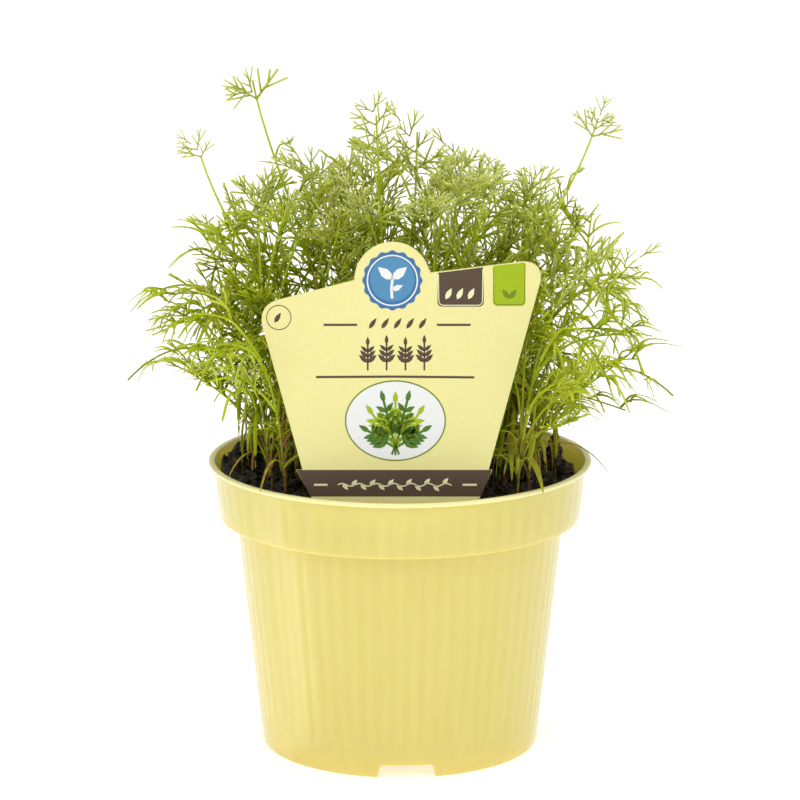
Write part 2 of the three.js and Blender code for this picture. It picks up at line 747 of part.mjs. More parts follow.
place("pot", geometryOf(potSolid()), finish.pot);
place("soil", geometryOf(soilSolid()), finish.soil);
place("label", placedLabel(labelShape(0), LABEL_THICKNESS), finish.card);
PLANTS.forEach((plant, index) => {
  const name = `dill_plant_${String(index + 1).padStart(2, "0")}`;
  place(name, geometryOf(plantSolid(index)), finish.dill);
});
export default pottedDill;
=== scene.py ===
import json
import math

import bmesh
import bpy
import numpy as np
from mathutils import Matrix, Vector, noise

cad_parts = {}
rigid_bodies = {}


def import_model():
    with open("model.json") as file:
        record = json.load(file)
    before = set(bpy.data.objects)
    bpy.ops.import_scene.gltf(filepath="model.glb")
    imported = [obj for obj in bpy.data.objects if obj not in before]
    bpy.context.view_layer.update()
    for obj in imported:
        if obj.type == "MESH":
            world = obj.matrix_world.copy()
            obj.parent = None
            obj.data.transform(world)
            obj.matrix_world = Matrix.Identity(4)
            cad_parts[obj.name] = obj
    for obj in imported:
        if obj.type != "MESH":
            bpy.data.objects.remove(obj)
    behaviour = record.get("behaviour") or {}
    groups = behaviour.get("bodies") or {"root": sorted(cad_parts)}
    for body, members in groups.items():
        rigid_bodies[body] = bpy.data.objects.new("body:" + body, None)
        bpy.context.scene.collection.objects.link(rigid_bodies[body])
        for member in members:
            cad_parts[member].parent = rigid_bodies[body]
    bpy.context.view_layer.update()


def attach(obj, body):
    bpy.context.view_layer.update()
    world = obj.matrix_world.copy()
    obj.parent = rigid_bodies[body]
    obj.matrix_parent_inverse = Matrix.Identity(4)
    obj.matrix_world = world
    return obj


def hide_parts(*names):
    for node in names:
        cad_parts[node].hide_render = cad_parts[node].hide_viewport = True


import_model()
MM = 0.001

# Studio. A wide white room with soft lamps and a pale floor, which has a brighter patch at the
# left that draws the upright gleam down the pot, and the camera where the photograph was taken.
FRAME_PIXELS = 800
FOCAL_PIXELS = 4116
CAMERA_PLACE = (0, -1.360, 0.428)
CAMERA_PITCH = math.radians(12.8)
ROOM_BRIGHTNESS = 0.48
LAMP_AIM = (0, 0, 0.12)
FLOOR_HALF = 12
FLOOR_GREY = (0.46, 0.46, 0.48, 1)
BACKDROP_GREY = (0.62, 0.62, 0.62, 1)
BACKDROP_RISE = (0.3, 1.1)
PATCH_WHITE = (1.7, 1.7, 1.7, 1)
PATCH_LEFT = (-0.31, -0.26)
PATCH_RIGHT = (-0.05, -0.045)

bpy.context.scene.view_settings.view_transform = "Standard"


def placed(name, data):
    """A new object for the data, linked to the scene."""
    made = bpy.data.objects.new(name, data)
    bpy.context.scene.collection.objects.link(made)
    return made


camera = placed("camera", bpy.data.cameras.new("camera"))
camera.data.sensor_width = 36
camera.data.lens = FOCAL_PIXELS / FRAME_PIXELS * camera.data.sensor_width
camera.location = CAMERA_PLACE
camera.rotation_euler = (math.pi / 2 - CAMERA_PITCH, 0, 0)
bpy.context.scene.camera = camera

room = bpy.context.scene.world or bpy.data.worlds.new("room")
bpy.context.scene.world = room
room.use_nodes = True
room.node_tree.nodes["Background"].inputs["Color"].default_value = (1, 1, 1, 1)
room.node_tree.nodes["Background"].inputs["Strength"].default_value = ROOM_BRIGHTNESS


def soft_light(name, place, aim, width, height, power):
    data = bpy.data.lights.new(name, "AREA")
    data.shape = "RECTANGLE"
    data.size = width
    data.size_y = height
    data.energy = power
    light = placed(name, data)
    light.location = place
    light.rotation_euler = (Vector(aim) - Vector(place)).to_track_quat("-Z", "Y").to_euler()


soft_light("key_light", (-0.35, -1.35, 1.45), LAMP_AIM, 1.4, 1.2, power=10.1)
soft_light("fill_light", (1.2, -1.0, 0.9), LAMP_AIM, 1.0, 1.0, power=2)
soft_light("top_light", (0.1, 0.3, 1.8), (0, 0, 0.1), 1.6, 1.2, power=10)


class Wire:
    """A value in a node tree. Sums on it add Math nodes."""

    def __init__(self, nodes, socket):
        self.nodes = nodes
        self.socket = socket

    def sum(self, operation, first, second):
        sockets = {0: first, 1: second}
        return self.nodes.node("ShaderNodeMath", {"operation": operation}, sockets)

    def __add__(self, other):
        return self.sum("ADD", self, other)

    def __radd__(self, other):
        return self.sum("ADD", other, self)

    def __sub__(self, other):
        return self.sum("SUBTRACT", self, other)

    def __rsub__(self, other):
        return self.sum("SUBTRACT", other, self)

    def __mul__(self, other):
        return self.sum("MULTIPLY", self, other)

    def __rmul__(self, other):
        return self.sum("MULTIPLY", other, self)

    def between(self, low, high):
        """0 where this is below low, 1 above high, and a straight rise in between."""
        sockets = {"Value": self, "From Min": low, "From Max": high}
        return self.nodes.node("ShaderNodeMapRange", {"clamp": True}, sockets)


class Nodes:
    """A node tree, built node by node from settings and the values or links of sockets."""

    def __init__(self, tree):
        self.tree = tree

    def node(self, kind, settings=None, sockets=None, out=0):
        made = self.tree.nodes.new(kind)
        for key, value in (settings or {}).items():
            if key == "stops":
                set_stops(made.color_ramp, value)
            else:
                setattr(made, key, value)
        for key, value in (sockets or {}).items():
            self.plug(made.inputs[key], value)
        return Wire(self, made.outputs[out])

    def plug(self, socket, value):
        if isinstance(value, Wire):
            self.tree.links.new(value.socket, socket)
        else:
            socket.default_value = value

    def from_axis(self, place):
        """How far a place lies from the upright axis of the pot."""
        sockets = {0: place, 1: (1, 1, 0)}
        flat_place = self.node("ShaderNodeVectorMath", {"operation": "MULTIPLY"}, sockets)
        return self.node("ShaderNodeVectorMath", {"operation": "LENGTH"}, {0: flat_place}, out=1)


def set_stops(ramp, stops):
    while len(ramp.elements) < len(stops):
        ramp.elements.new(0.5)
    for element, (position, colour) in zip(ramp.elements, stops):
        element.position = position
        element.color = (*colour, 1)


class Paint(Nodes):
    """One procedural material. Constants go straight onto the shader's own sockets."""

    def __init__(self, name, **constants):
        self.material = bpy.data.materials.new(name)
        self.material.use_nodes = True
        super().__init__(self.material.node_tree)
        self.shader = self.tree.nodes["Principled BSDF"]
        for socket, value in constants.items():
            self.shader.inputs[socket.replace("_", " ")].default_value = value

    def feed(self, **sockets):
        for key, value in sockets.items():
            self.plug(self.shader.inputs[key.replace("_", " ")], value)

    def place(self):
        return self.node("ShaderNodeTexCoord", out=3)

    def along(self, axis):
        """One coordinate of the place: 0 across, 1 to the back, 2 up."""
        return self.node("ShaderNodeSeparateXYZ", sockets={0: self.place()}, out=axis)

    def attribute(self, name):
        return self.node("ShaderNodeAttribute", {"attribute_name": name}, out=2)

    def noise(self, size, detail=3, stretch=None):
        """Soft noise from 0 to 1 whose lumps are about size metres across."""
        place = self.place()
        if stretch:
            place = self.node("ShaderNodeMapping", sockets={"Vector": place, "Scale": stretch})
        sockets = {"Vector": place, "Scale": 1 / size, "Detail": detail}
        return self.node("ShaderNodeTexNoise", sockets=sockets)

    def blend(self, factor, first, second):
        """The first colour where the factor is 0, and the second where it is 1."""
        sockets = {0: factor, 6: first, 7: second}
        return self.node("ShaderNodeMix", {"data_type": "RGBA"}, sockets, out=2)

    def bump(self, height, depth, strength):
        sockets = {"Height": height, "Distance": depth, "Strength": strength}
        return self.node("ShaderNodeBump", sockets=sockets)


floor_paint = Paint(
    "floor_white", Base_Color=(0.9, 0.9, 0.89, 1), Emission_Color=(1, 1, 1, 1), Emission_Strength=1.0
)
across = floor_paint.along(0)
inward = floor_paint.along(1)


def behind_line(x, y, slope):
    """How far a place on the floor lies behind the line of a slope through (x, y)."""
    return inward - y - slope * (across - x)


bright = behind_line(-0.05, -0.043, 0.253).between(0, 0.004)
bright = bright * (1 - behind_line(-0.057, -0.026, -0.181).between(-0.02, 0.012))
bright = bright * across.between(*PATCH_LEFT) * (1 - across.between(*PATCH_RIGHT))
far = floor_paint.from_axis(floor_paint.place()).between(*BACKDROP_RISE)
backdrop = floor_paint.blend(far, FLOOR_GREY, BACKDROP_GREY)
floor_paint.feed(
    Roughness=0.85 + 0.1 * floor_paint.noise(0.5),
    Emission_Color=floor_paint.blend(bright, backdrop, PATCH_WHITE),
)
floor_mesh = bpy.data.meshes.new("studio_floor")
corners = [(x * FLOOR_HALF, y * FLOOR_HALF, 0) for x, y in ((-1, -1), (1, -1), (1, 1), (-1, 1))]
floor_mesh.from_pydata(corners, [], [(0, 1, 2, 3)])
floor_mesh.materials.append(floor_paint.material)
placed("studio_floor", floor_mesh)

# Pot. One injection-moulded shell: tapered body with faint upright flutes, a deep collar, a thin
# lip, a raised floor with drain holes and a foot ring with three notches. It is turned from its
# outline in millimetres, fluted by a formula, and cut by a boolean.
POT_HEIGHT = 99
RIM_RADIUS = 65
FOOT_RADIUS = 46.9
WALL_TAPER = 0.11
WALL = 1.2
COLLAR_BOTTOM = 79.4
COLLAR_FOOT_RADIUS = 61.2
COLLAR_TOP_RADIUS = 63.1
COLLAR_TAPER = 0.106
LIP_HEIGHT = 1.3
LIP_WIDTH = 2.1
FLOOR_UNDERSIDE = 4.8
FLOOR_THICKNESS = 1.5
FLUTES = 64
FLUTE_DEPTH = 0.08
POT_SIDES = 6 * FLUTES
ROW_HEIGHT = 2.4
NOTCH_HALF_WIDTH = 10
NOTCH_HEIGHT = 4.6
NOTCH_CORNER = 1.3
NOTCH_TURN = math.radians(2.7)
NOTCHES = 3
DRAIN_RADIUS = 4.5
DRAIN_RING = 29
DRAINS = 6
DEEP_YELLOW = (0.765, 0.63, 0.17, 1)
PALE_YELLOW = (0.825, 0.69, 0.22, 1)
# Painted light: a paler yellow painted on the lip and inside the collar, for their highlight and the light
# shining through them
PAINTED_GLOW_YELLOW = (0.95, 0.90, 0.52, 1)
SCUFFED_YELLOW = (0.62, 0.52, 0.22, 1)


def turned_out(name, maker):
    """The finished mesh of what a maker has built, with its faces turned outwards."""
    bmesh.ops.recalc_face_normals(maker, faces=maker.faces)
    mesh = bpy.data.meshes.new(name)
    maker.to_mesh(mesh)
    maker.free()
    return mesh


def wall_between(maker, lower, upper):
    """One face between each pair of neighbours on two closed loops of points."""
    count = len(lower)
    corners = [(lower[k], lower[(k + 1) % count], upper[(k + 1) % count], upper[k]) for k in range(count)]
    return [maker.faces.new(four) for four in corners]


def circle(count):
    """Angles all the way round, in equal steps."""
    return [2 * math.pi * k / count for k in range(count)]


def wall_radius(z):
    return FOOT_RADIUS + WALL_TAPER * z


def collar_radius(z):
    return COLLAR_FOOT_RADIUS + COLLAR_TAPER * (z - COLLAR_BOTTOM)


def rounded_outline(corners):
    """Points along (r, z, fillet) corners, each corner rounded by an arc of its fillet."""
    points = []
    for i, (r, z, fillet) in enumerate(corners):
        here = np.array((r, z))
        if not fillet:
            points.append(here)
            continue
        back = np.array(corners[i - 1][:2]) - here
        ahead = np.array(corners[i + 1][:2]) - here
        back /= np.linalg.norm(back)
        ahead /= np.linalg.norm(ahead)
        half = math.acos(np.clip(back @ ahead, -1, 1)) / 2
        middle = (back + ahead) / np.linalg.norm(back + ahead)
        centre = here + middle * fillet / math.sin(half)
        start = here + back * fillet / math.tan(half) - centre
        end = here + ahead * fillet / math.tan(half) - centre
        sweep = math.atan2(start[0] * end[1] - start[1] * end[0], start @ end)
        steps = max(2, round(abs(sweep) / 0.35))
        for step in range(steps + 1):
            turn = sweep * step / steps
            c, s = math.cos(turn), math.sin(turn)
            points.append(centre + (start[0] * c - start[1] * s, start[0] * s + start[1] * c))
    return points


def long_rows(points):
    """Extra points along the long straight stretches, so that the flutes can fade out."""
    rows = [points[0]]
    for start, end in zip(points, points[1:]):
        steps = max(1, math.ceil(np.linalg.norm(end - start) / ROW_HEIGHT))
        rows += [start + (end - start) * step / steps for step in range(1, steps + 1)]
    return rows


def fade(value, start, end, soft):
    """1 between start and end, and falling to 0 over the soft distance beyond each."""
    return np.clip(min(value - start, end - value) / soft + 1, 0, 1)


STEP_RADIUS = wall_radius(COLLAR_BOTTOM)
INNER_FLOOR = FLOOR_UNDERSIDE + FLOOR_THICKNESS
pot_corners = [
    (DRAIN_RING / 2, FLOOR_UNDERSIDE, 0),
    (wall_radius(FLOOR_UNDERSIDE) - WALL - 0.2, FLOOR_UNDERSIDE, 0.8),
    (FOOT_RADIUS - 2, 0.0, 0.3),
    (FOOT_RADIUS - 0.25, 0.0, 0.6),
    (wall_radius(2), 2.0, 1.2),
    (STEP_RADIUS, COLLAR_BOTTOM, 0.5),
    (COLLAR_FOOT_RADIUS, COLLAR_BOTTOM, 0.6),
    (COLLAR_TOP_RADIUS, POT_HEIGHT - LIP_HEIGHT - 0.4, 0.6),
    (RIM_RADIUS, POT_HEIGHT - LIP_HEIGHT, 0.55),
    (RIM_RADIUS, POT_HEIGHT, 0.55),
    (RIM_RADIUS - LIP_WIDTH, POT_HEIGHT, 0.6),
    (RIM_RADIUS - LIP_WIDTH - 0.6, POT_HEIGHT - 2 * LIP_HEIGHT, 0.8),
    (COLLAR_FOOT_RADIUS - WALL, COLLAR_BOTTOM + 0.7, 1.1),
    (STEP_RADIUS - WALL, COLLAR_BOTTOM + 0.3, 1.0),
    (wall_radius(INNER_FLOOR) - WALL, INNER_FLOOR, 2.0),
    (DRAIN_RING / 2, INNER_FLOOR, 0),
]
pot_rows = long_rows(rounded_outline(pot_corners))


def pot_point(r, z, turn):
    """A point of the pot, with the flutes and the low seam of its mould on its outer side."""
    outer = wall_radius(z) if z < COLLAR_BOTTOM else collar_radius(z)
    body = fade(z, 12, COLLAR_BOTTOM - 5, 4)
    collar = fade(z, COLLAR_BOTTOM + 5, POT_HEIGHT - 6, 3)
    flute = FLUTE_DEPTH * math.cos(FLUTES * turn) * max(body, collar)
    seam = 0.09 * fade(z, 7.3, 7.9, 0.5)
    radius = r + (flute - seam if r > outer - 0.3 else 0)
    return (radius * math.cos(turn) * MM, radius * math.sin(turn) * MM, z * MM)


pot_shell = bmesh.new()
rings = [[pot_shell.verts.new(pot_point(r, z, turn)) for turn in circle(POT_SIDES)] for r, z in pot_rows]
for lower, upper in zip(rings, rings[1:]):
    wall_between(pot_shell, lower, upper)
underside = pot_shell.verts.new((0, 0, FLOOR_UNDERSIDE * MM))
inside = pot_shell.verts.new((0, 0, INNER_FLOOR * MM))
for k in range(POT_SIDES):
    after = (k + 1) % POT_SIDES
    pot_shell.faces.new((underside, rings[0][after], rings[0][k]))
    pot_shell.faces.new((inside, rings[-1][k], rings[-1][after]))
pot = placed("nursery_pot", turned_out("nursery_pot", pot_shell))


def prism(maker, loop, low, high, place):
    """A straight prism over a loop of (x, y), from low to high along z, moved by place."""
    lower, upper = ([maker.verts.new(place @ Vector((x, y, z))) for x, y in loop] for z in (low, high))
    maker.faces.new(lower[::-1])
    maker.faces.new(upper)
    wall_between(maker, lower, upper)


def arc_points(middle, radius, start, end, steps):
    """Points on an arc from a start angle to an end angle, in degrees."""
    turns = [math.radians(start + (end - start) * k / steps) for k in range(steps + 1)]
    return [(middle[0] + radius * math.cos(t), middle[1] + radius * math.sin(t)) for t in turns]


notch_side = NOTCH_HALF_WIDTH - 1 - NOTCH_CORNER
notch_shoulder = NOTCH_HEIGHT - NOTCH_CORNER
notch = [(NOTCH_HALF_WIDTH + 0.5, -3)]
notch += arc_points((notch_side, notch_shoulder), NOTCH_CORNER, 0, 90, 9)
notch += arc_points((-notch_side, notch_shoulder), NOTCH_CORNER, 90, 180, 9)
notch += [(-NOTCH_HALF_WIDTH - 0.5, -3)]
cutters = bmesh.new()
for k in range(NOTCHES):
    turn = Matrix.Rotation(NOTCH_TURN + 2 * math.pi * k / NOTCHES, 4, "Z")
    stand = Matrix.Translation((0, -FOOT_RADIUS * MM, 0)) @ Matrix.Rotation(math.pi / 2, 4, "X")
    loop = [(x * MM, y * MM) for x, y in notch]
    prism(cutters, loop, -8 * MM, 8 * MM, turn @ stand)
for k in range(DRAINS):
    turn = (k + 0.5) * 2 * math.pi / DRAINS
    middle = Matrix.Translation((DRAIN_RING * MM * math.cos(turn), DRAIN_RING * MM * math.sin(turn), 0))
    loop = [(DRAIN_RADIUS * MM * math.cos(a), DRAIN_RADIUS * MM * math.sin(a)) for a in circle(32)]
    prism(cutters, loop, 2 * MM, 10 * MM, middle)
cutter = placed("notches_and_drains", turned_out("notches_and_drains", cutters))
cut = pot.modifiers.new("cut", "BOOLEAN")
cut.object = cutter
cut.solver = "MANIFOLD"


def settle(piece):
    """Turns what the modifiers make of a piece into its plain mesh, and removes them."""
    bpy.context.view_layer.update()
    seen = piece.evaluated_get(bpy.context.evaluated_depsgraph_get())
    plain = bpy.data.meshes.new_from_object(seen)
    piece.modifiers.clear()
    piece.data = plain
    return piece


settle(pot)
bpy.data.objects.remove(cutter)
pot.data.shade_smooth()
pot.data.set_sharp_from_angle(angle=math.radians(32))

pot_paint = Paint(
    "pale_yellow_plastic",
    IOR=1.49,
    Subsurface_Weight=0.6,
    Subsurface_Radius=(1.0, 0.8, 0.25),
    Subsurface_Scale=0.0032,
)
level = pot_paint.along(2)
around = pot_paint.node(
    "ShaderNodeMath", {"operation": "ARCTAN2"}, {0: pot_paint.along(1), 1: pot_paint.along(0)}
)
# Painted shade: a faint light and dark stripe per flute, painted into the colour, stands in for the light
# and shade on the flutes
flute_shade_ripple = pot_paint.node("ShaderNodeMath", {"operation": "COSINE"}, {0: FLUTES * around})
fluted = level.between(0.010, 0.014) * (1 - level.between(0.092, 0.095))
cloud = 0.4 * pot_paint.noise(0.03, 2, (1, 1, 0.4)) + 0.6 * pot_paint.noise(0.003, 1, (1, 1, 0.02))
yellow = pot_paint.blend(cloud + 0.14 * flute_shade_ripple * fluted, DEEP_YELLOW, PALE_YELLOW)

# Painted light: the thin lip is painted paler, a painted highlight and glow, and so is the inside of the
# collar, a painted glow that stands in for light shining through the upper wall
lip_glow_mask = level.between(0.0974, 0.0981)
collar_wall = (COLLAR_FOOT_RADIUS - COLLAR_TAPER * COLLAR_BOTTOM) * MM + COLLAR_TAPER * level
collar_glow_mask = (collar_wall - pot_paint.from_axis(pot_paint.place())).between(0.0004, 0.0008)
collar_glow_mask = collar_glow_mask * level.between(0.0794, 0.0798)
painted_glow = 0.75 * lip_glow_mask + 0.9 * collar_glow_mask * (1 - lip_glow_mask)
with_painted_glow = pot_paint.blend(painted_glow, yellow, PAINTED_GLOW_YELLOW)
scuffs = pot_paint.noise(0.0016, 4, (1, 1, 0.25))
foot_wear = (1 - level.between(0.0, 0.006)) * scuffs.between(0.5, 0.7)
worn = pot_paint.blend(foot_wear * 0.3, with_painted_glow, SCUFFED_YELLOW)
pot_paint.feed(
    Base_Color=worn,
    Roughness=0.13 + 0.06 * scuffs + 0.05 * pot_paint.noise(0.012),
    Normal=pot_paint.bump(pot_paint.noise(0.0009, 3), 0.00003, 0.3),
)
pot.data.materials.clear()
pot.data.materials.append(pot_paint.material)
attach(pot, "root")
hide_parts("pot")

# Soil. Damp peat compost, almost black, that fills the pot to just under the lip. Its top is one
# lumpy sheet raised by noise, and crumbs, bark chips and root fibres are scattered over it.
SOIL_LEVEL = 91
SOIL_MOUND = 2.5
MOUND_RADIUS = 58
SOIL_LUMP = 1.3
SOIL_REACH = 60.8
SOIL_RINGS = 120
SOIL_SPOKES = 240
CRUMB_SEED = 5


def soil_height(x, y):
    """The solid's own height of the soil in millimetres, before the fine lumps."""
    share = min(1, math.hypot(x, y) / MOUND_RADIUS)
    coarse = math.sin(x * 0.31 + 1.7) * math.cos(y * 0.27 - 0.6)
    fine = math.sin(x * 0.73 - y * 0.41 + 2.1) * math.sin(y * 0.66 + x * 0.19)
    lumps = SOIL_LUMP * (0.7 * coarse + 0.5 * fine)
    return SOIL_LEVEL + SOIL_MOUND * (1 - share * share) + lumps


CLODS = [
    (-56, 3, 8, 7), (-51, 15, 8, 8), (-57, -12, 6, 5), (-52, -26, 6, 4),
    (-44, 30, 7, 5), (-40, -42, 6, 3), (-36, 4, 7, 3), (53, 12, 6, 7),
    (56, -4, 5, 5), (45, 24, 6, 5), (54, -20, 6, 3.5), (45, -36, 6, 2.5),
    (12, 52, 8, 4), (-25, 50, 8, 4), (40, 2, 5, 5), (0, -55, 16, -2.6),
]


def clod_height(x, y):
    """Lumps of compost that stand out of the surface: place, half width and height of each."""
    lumps = 0
    for clod_x, clod_y, size, rise in CLODS:
        lumps += rise * math.exp(-((x - clod_x) ** 2 + (y - clod_y) ** 2) / size ** 2)
    return lumps * (1 + 0.9 * noise.noise(Vector((x, y, 0)) * 0.35))


def soil_point(x, y):
    """A point of the soil's top: the solid's height with clods and grains, lower at the edge."""
    clods = noise.hetero_terrain(Vector((x, y, 3.1)) * 0.16, 0.7, 2.1, 4, 0.6) - 0.9
    grains = noise.fractal(Vector((x, y, 9.7)) * 0.8, 0.6, 2.0, 4)
    rough = 0.9 * clods + 1.3 * grains + clod_height(x, y)
    edge = max(0, math.hypot(x, y) - 56) / 5
    return (x * MM, y * MM, (soil_height(x, y) + rough - 0.8 * edge) * MM)


soil_skin = bmesh.new()
spokes = circle(SOIL_SPOKES)
rings = []
for i in range(1, SOIL_RINGS + 1):
    reach = SOIL_REACH * i / SOIL_RINGS
    places = [soil_point(reach * math.cos(t), reach * math.sin(t)) for t in spokes]
    rings.append([soil_skin.verts.new(place) for place in places])
soil_sides = [
    (COLLAR_FOOT_RADIUS - WALL - 0.6, COLLAR_BOTTOM + 2.2),
    (STEP_RADIUS - WALL - 0.4, COLLAR_BOTTOM + 0.5),
    (wall_radius(INNER_FLOOR) - WALL - 2.2, INNER_FLOOR + 0.3),
]
for r, z in soil_sides:
    places = [(r * MM * math.cos(t), r * MM * math.sin(t), z * MM) for t in spokes]
    rings.append([soil_skin.verts.new(place) for place in places])
for inner, outer in zip(rings, rings[1:]):
    wall_between(soil_skin, inner, outer)
crest = soil_skin.verts.new(soil_point(0, 0))
for k in range(SOIL_SPOKES):
    soil_skin.faces.new((crest, rings[0][k], rings[0][(k + 1) % SOIL_SPOKES]))
soil_skin.faces.new(rings[-1][::-1])
soil_mesh = turned_out("peat_soil", soil_skin)
soil_mesh.shade_smooth()
soil = placed("peat_soil", soil_mesh)

soil_paint = Paint("damp_peat", IOR=1.4, Specular_IOR_Level=0.75)
clod_tone = soil_paint.noise(0.004, 5)
earth = soil_paint.node(
    "ShaderNodeValToRGB",
    {"stops": [(0.3, (0.006, 0.005, 0.004)), (0.55, (0.022, 0.016, 0.012)), (0.8, (0.10, 0.062, 0.03))]},
    {"Fac": clod_tone},
)
soil_paint.feed(
    Base_Color=earth,
    Roughness=0.2 + 0.5 * soil_paint.noise(0.002, 3),
    Normal=soil_paint.bump(soil_paint.noise(0.0007, 5), 0.0006, 0.8),
)
chip_paint = Paint("bark_chips", Specular_IOR_Level=0.3)
chip_tone = chip_paint.noise(0.0012, 4, (1, 1, 3))
chip_paint.feed(
    Base_Color=chip_paint.blend(chip_tone, (0.07, 0.035, 0.014, 1), (0.30, 0.16, 0.06, 1)),
    Roughness=0.7 + 0.2 * chip_tone,
    Normal=chip_paint.bump(chip_tone, 0.0003, 0.7),
)
soil_mesh.materials.append(soil_paint.material)


def crumb(name, key, stretch, dent, rounds=1):
    """A broken lump about a millimetre across, pushed in and out by noise."""
    lump = bmesh.new()
    bmesh.ops.create_icosphere(lump, subdivisions=rounds, radius=0.5 * MM)
    for vert in lump.verts:
        push = 1 + dent * noise.noise(vert.co * 1900 + Vector((key * 7.3, key, 0)))
        vert.co = Vector((vert.co.x * stretch[0], vert.co.y * stretch[1], vert.co.z * stretch[2])) * push
    return bpy.data.objects.new(name, turned_out(name, lump))


def sampler(name, pieces):
    """A collection whose members are copied by Geometry Nodes, and which is removed afterwards."""
    tray = bpy.data.collections.new(name)
    for piece in pieces:
        tray.objects.link(piece)
    return tray


def discard(tray):
    for piece in list(tray.objects):
        bpy.data.objects.remove(piece)
    bpy.data.collections.remove(tray)


class Tree(Nodes):
    """A Geometry Nodes tree with named inputs."""

    def __init__(self, name, inputs):
        super().__init__(bpy.data.node_groups.new(name, "GeometryNodeTree"))
        face = self.tree.interface
        face.new_socket("Geometry", in_out="INPUT", socket_type="NodeSocketGeometry")
        face.new_socket("Geometry", in_out="OUTPUT", socket_type="NodeSocketGeometry")
        self.keys = {}
        for label, kind in inputs.items():
            socket = face.new_socket(label, in_out="INPUT", socket_type="NodeSocket" + kind)
            self.keys[label] = socket.identifier
        self.source = self.tree.nodes.new("NodeGroupInput")
        self.result = self.tree.nodes.new("NodeGroupOutput")

    def given(self, label):
        return Wire(self, self.source.outputs[label])

    def copies(self, points, pieces, sockets):
        """The pieces of a collection, one of them copied to each point."""
        whole = {"Collection": pieces, "Separate Children": True, "Reset Children": True}
        tray = self.node("GeometryNodeCollectionInfo", sockets=whole)
        sockets = {"Points": points, "Instance": tray, "Pick Instance": True, **sockets}
        return self.node("GeometryNodeInstanceOnPoints", sockets=sockets)

    def join(self, *parts):
        joined = self.tree.nodes.new("GeometryNodeJoinGeometry")
        for part in reversed(parts):
            self.plug(joined.inputs[0], part)
        return Wire(self, joined.outputs[0])

    def finish(self, geometry, smooth):
        """Makes the copies real, shades them smooth or flat, and gives them their finish."""
        real = self.node("GeometryNodeRealizeInstances", sockets={"Geometry": geometry})
        shaded = self.node("GeometryNodeSetShadeSmooth", sockets={0: real, "Shade Smooth": smooth})
        sockets = {0: shaded, "Material": self.given("Finish")}
        self.plug(self.result.inputs[0], self.node("GeometryNodeSetMaterial", sockets=sockets))

    def put_on(self, piece, **values):
        """Adds the tree to a piece, with each input set by its socket's identifier."""
        modifier = piece.modifiers.new("growth", "NODES")
        modifier.node_group = self.tree
        for label, value in values.items():
            modifier[self.keys[label.replace("_", " ")]] = value


scatter = Tree(
    "scatter_on_soil",
    {
        "Bits": "Collection",
        "Per Square Metre": "Float",
        "Smallest": "Float",
        "Largest": "Float",
        "Reach": "Float",
        "Seed": "Int",
        "Finish": "Material",
    },
)
facing = scatter.node("GeometryNodeInputNormal")
upward = scatter.node("ShaderNodeSeparateXYZ", sockets={0: facing}, out=2)
spot = scatter.node("GeometryNodeInputPosition")
sockets = {0: scatter.from_axis(spot), 1: scatter.given("Reach")}
central = scatter.node("FunctionNodeCompare", {"operation": "LESS_THAN"}, sockets)
upright = scatter.node("FunctionNodeCompare", {"operation": "GREATER_THAN"}, {0: upward, 1: 0.15})
on_top = scatter.node("FunctionNodeBooleanMath", {"operation": "AND"}, {0: central, 1: upright})
seed = scatter.given("Seed")
spots = scatter.node(
    "GeometryNodeDistributePointsOnFaces",
    sockets={
        "Mesh": scatter.given("Geometry"),
        "Selection": on_top,
        "Density": scatter.given("Per Square Metre"),
        "Seed": seed,
    },
)
tumble = scatter.node(
    "FunctionNodeRandomValue",
    {"data_type": "FLOAT_VECTOR"},
    {0: (-0.7, -0.7, 0), 1: (0.7, 0.7, 6.28), "Seed": seed},
)
bulk = scatter.node(
    "FunctionNodeRandomValue",
    {"data_type": "FLOAT"},
    {2: scatter.given("Smallest"), 3: scatter.given("Largest"), "Seed": seed},
    out=1,
)
laid = scatter.copies(spots, scatter.given("Bits"), {"Rotation": tumble, "Scale": bulk})
scatter.finish(laid, smooth=False)


def scattered(name, bits, per_square_metre, smallest, largest, reach, seed, paint):
    """One kind of bit strewn over the soil, out to a reach in millimetres."""
    tray = sampler(name, bits)
    strewn = placed(name, soil_mesh.copy())
    scatter.put_on(
        strewn,
        Bits=tray,
        Per_Square_Metre=per_square_metre,
        Smallest=smallest,
        Largest=largest,
        Reach=reach * MM,
        Seed=CRUMB_SEED + seed,
        Finish=paint.material,
    )
    settle(strewn)
    discard(tray)
    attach(strewn, "root")


crumbs = [crumb(f"crumb_{k}", k, (1, 0.7 + 0.12 * k, 0.7), 0.9) for k in range(6)]
clumps = [crumb(f"clump_{k}", k + 30, (1, 0.8, 0.75), 1.1, 2) for k in range(4)]
fibres = [crumb(f"fibre_{k}", k + 17, (7 + k, 0.28, 0.28), 0.5) for k in range(2)]
chips = [crumb(f"chip_{k}", k + 9, (2.6 + k, 0.5, 0.35), 0.7) for k in range(3)]
scattered("soil_crumbs", crumbs, 380000.0, 0.6, 2.4, 59.3, 0, soil_paint)
scattered("soil_clumps", clumps, 15000.0, 2.6, 6.0, 56.0, 1, soil_paint)
scattered("bark_chips", chips, 26000.0, 0.5, 1.3, 54.5, 3, chip_paint)
scattered("root_fibres", fibres, 20000.0, 0.5, 1.5, 54.5, 4, chip_paint)
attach(soil, "root")
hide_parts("soil")

# Label. A die-cut card of speckled pale yellow board, pushed into the soil and leaning back. Its
# outline is in millimetres up the card from where it meets the lip in view. The print on it is
# made of thin inlays: a band, two tabs, rules, and plant drawings of a generic kind.
LABEL_THICKNESS = 0.8
LABEL_LEAN = math.radians(8)
LABEL_FOOT = (0, -44, 95)
BUMP_MIDDLE = (-2.5, 72.8)
BUMP_RADIUS = 12.5
INK_STEP = 0.03


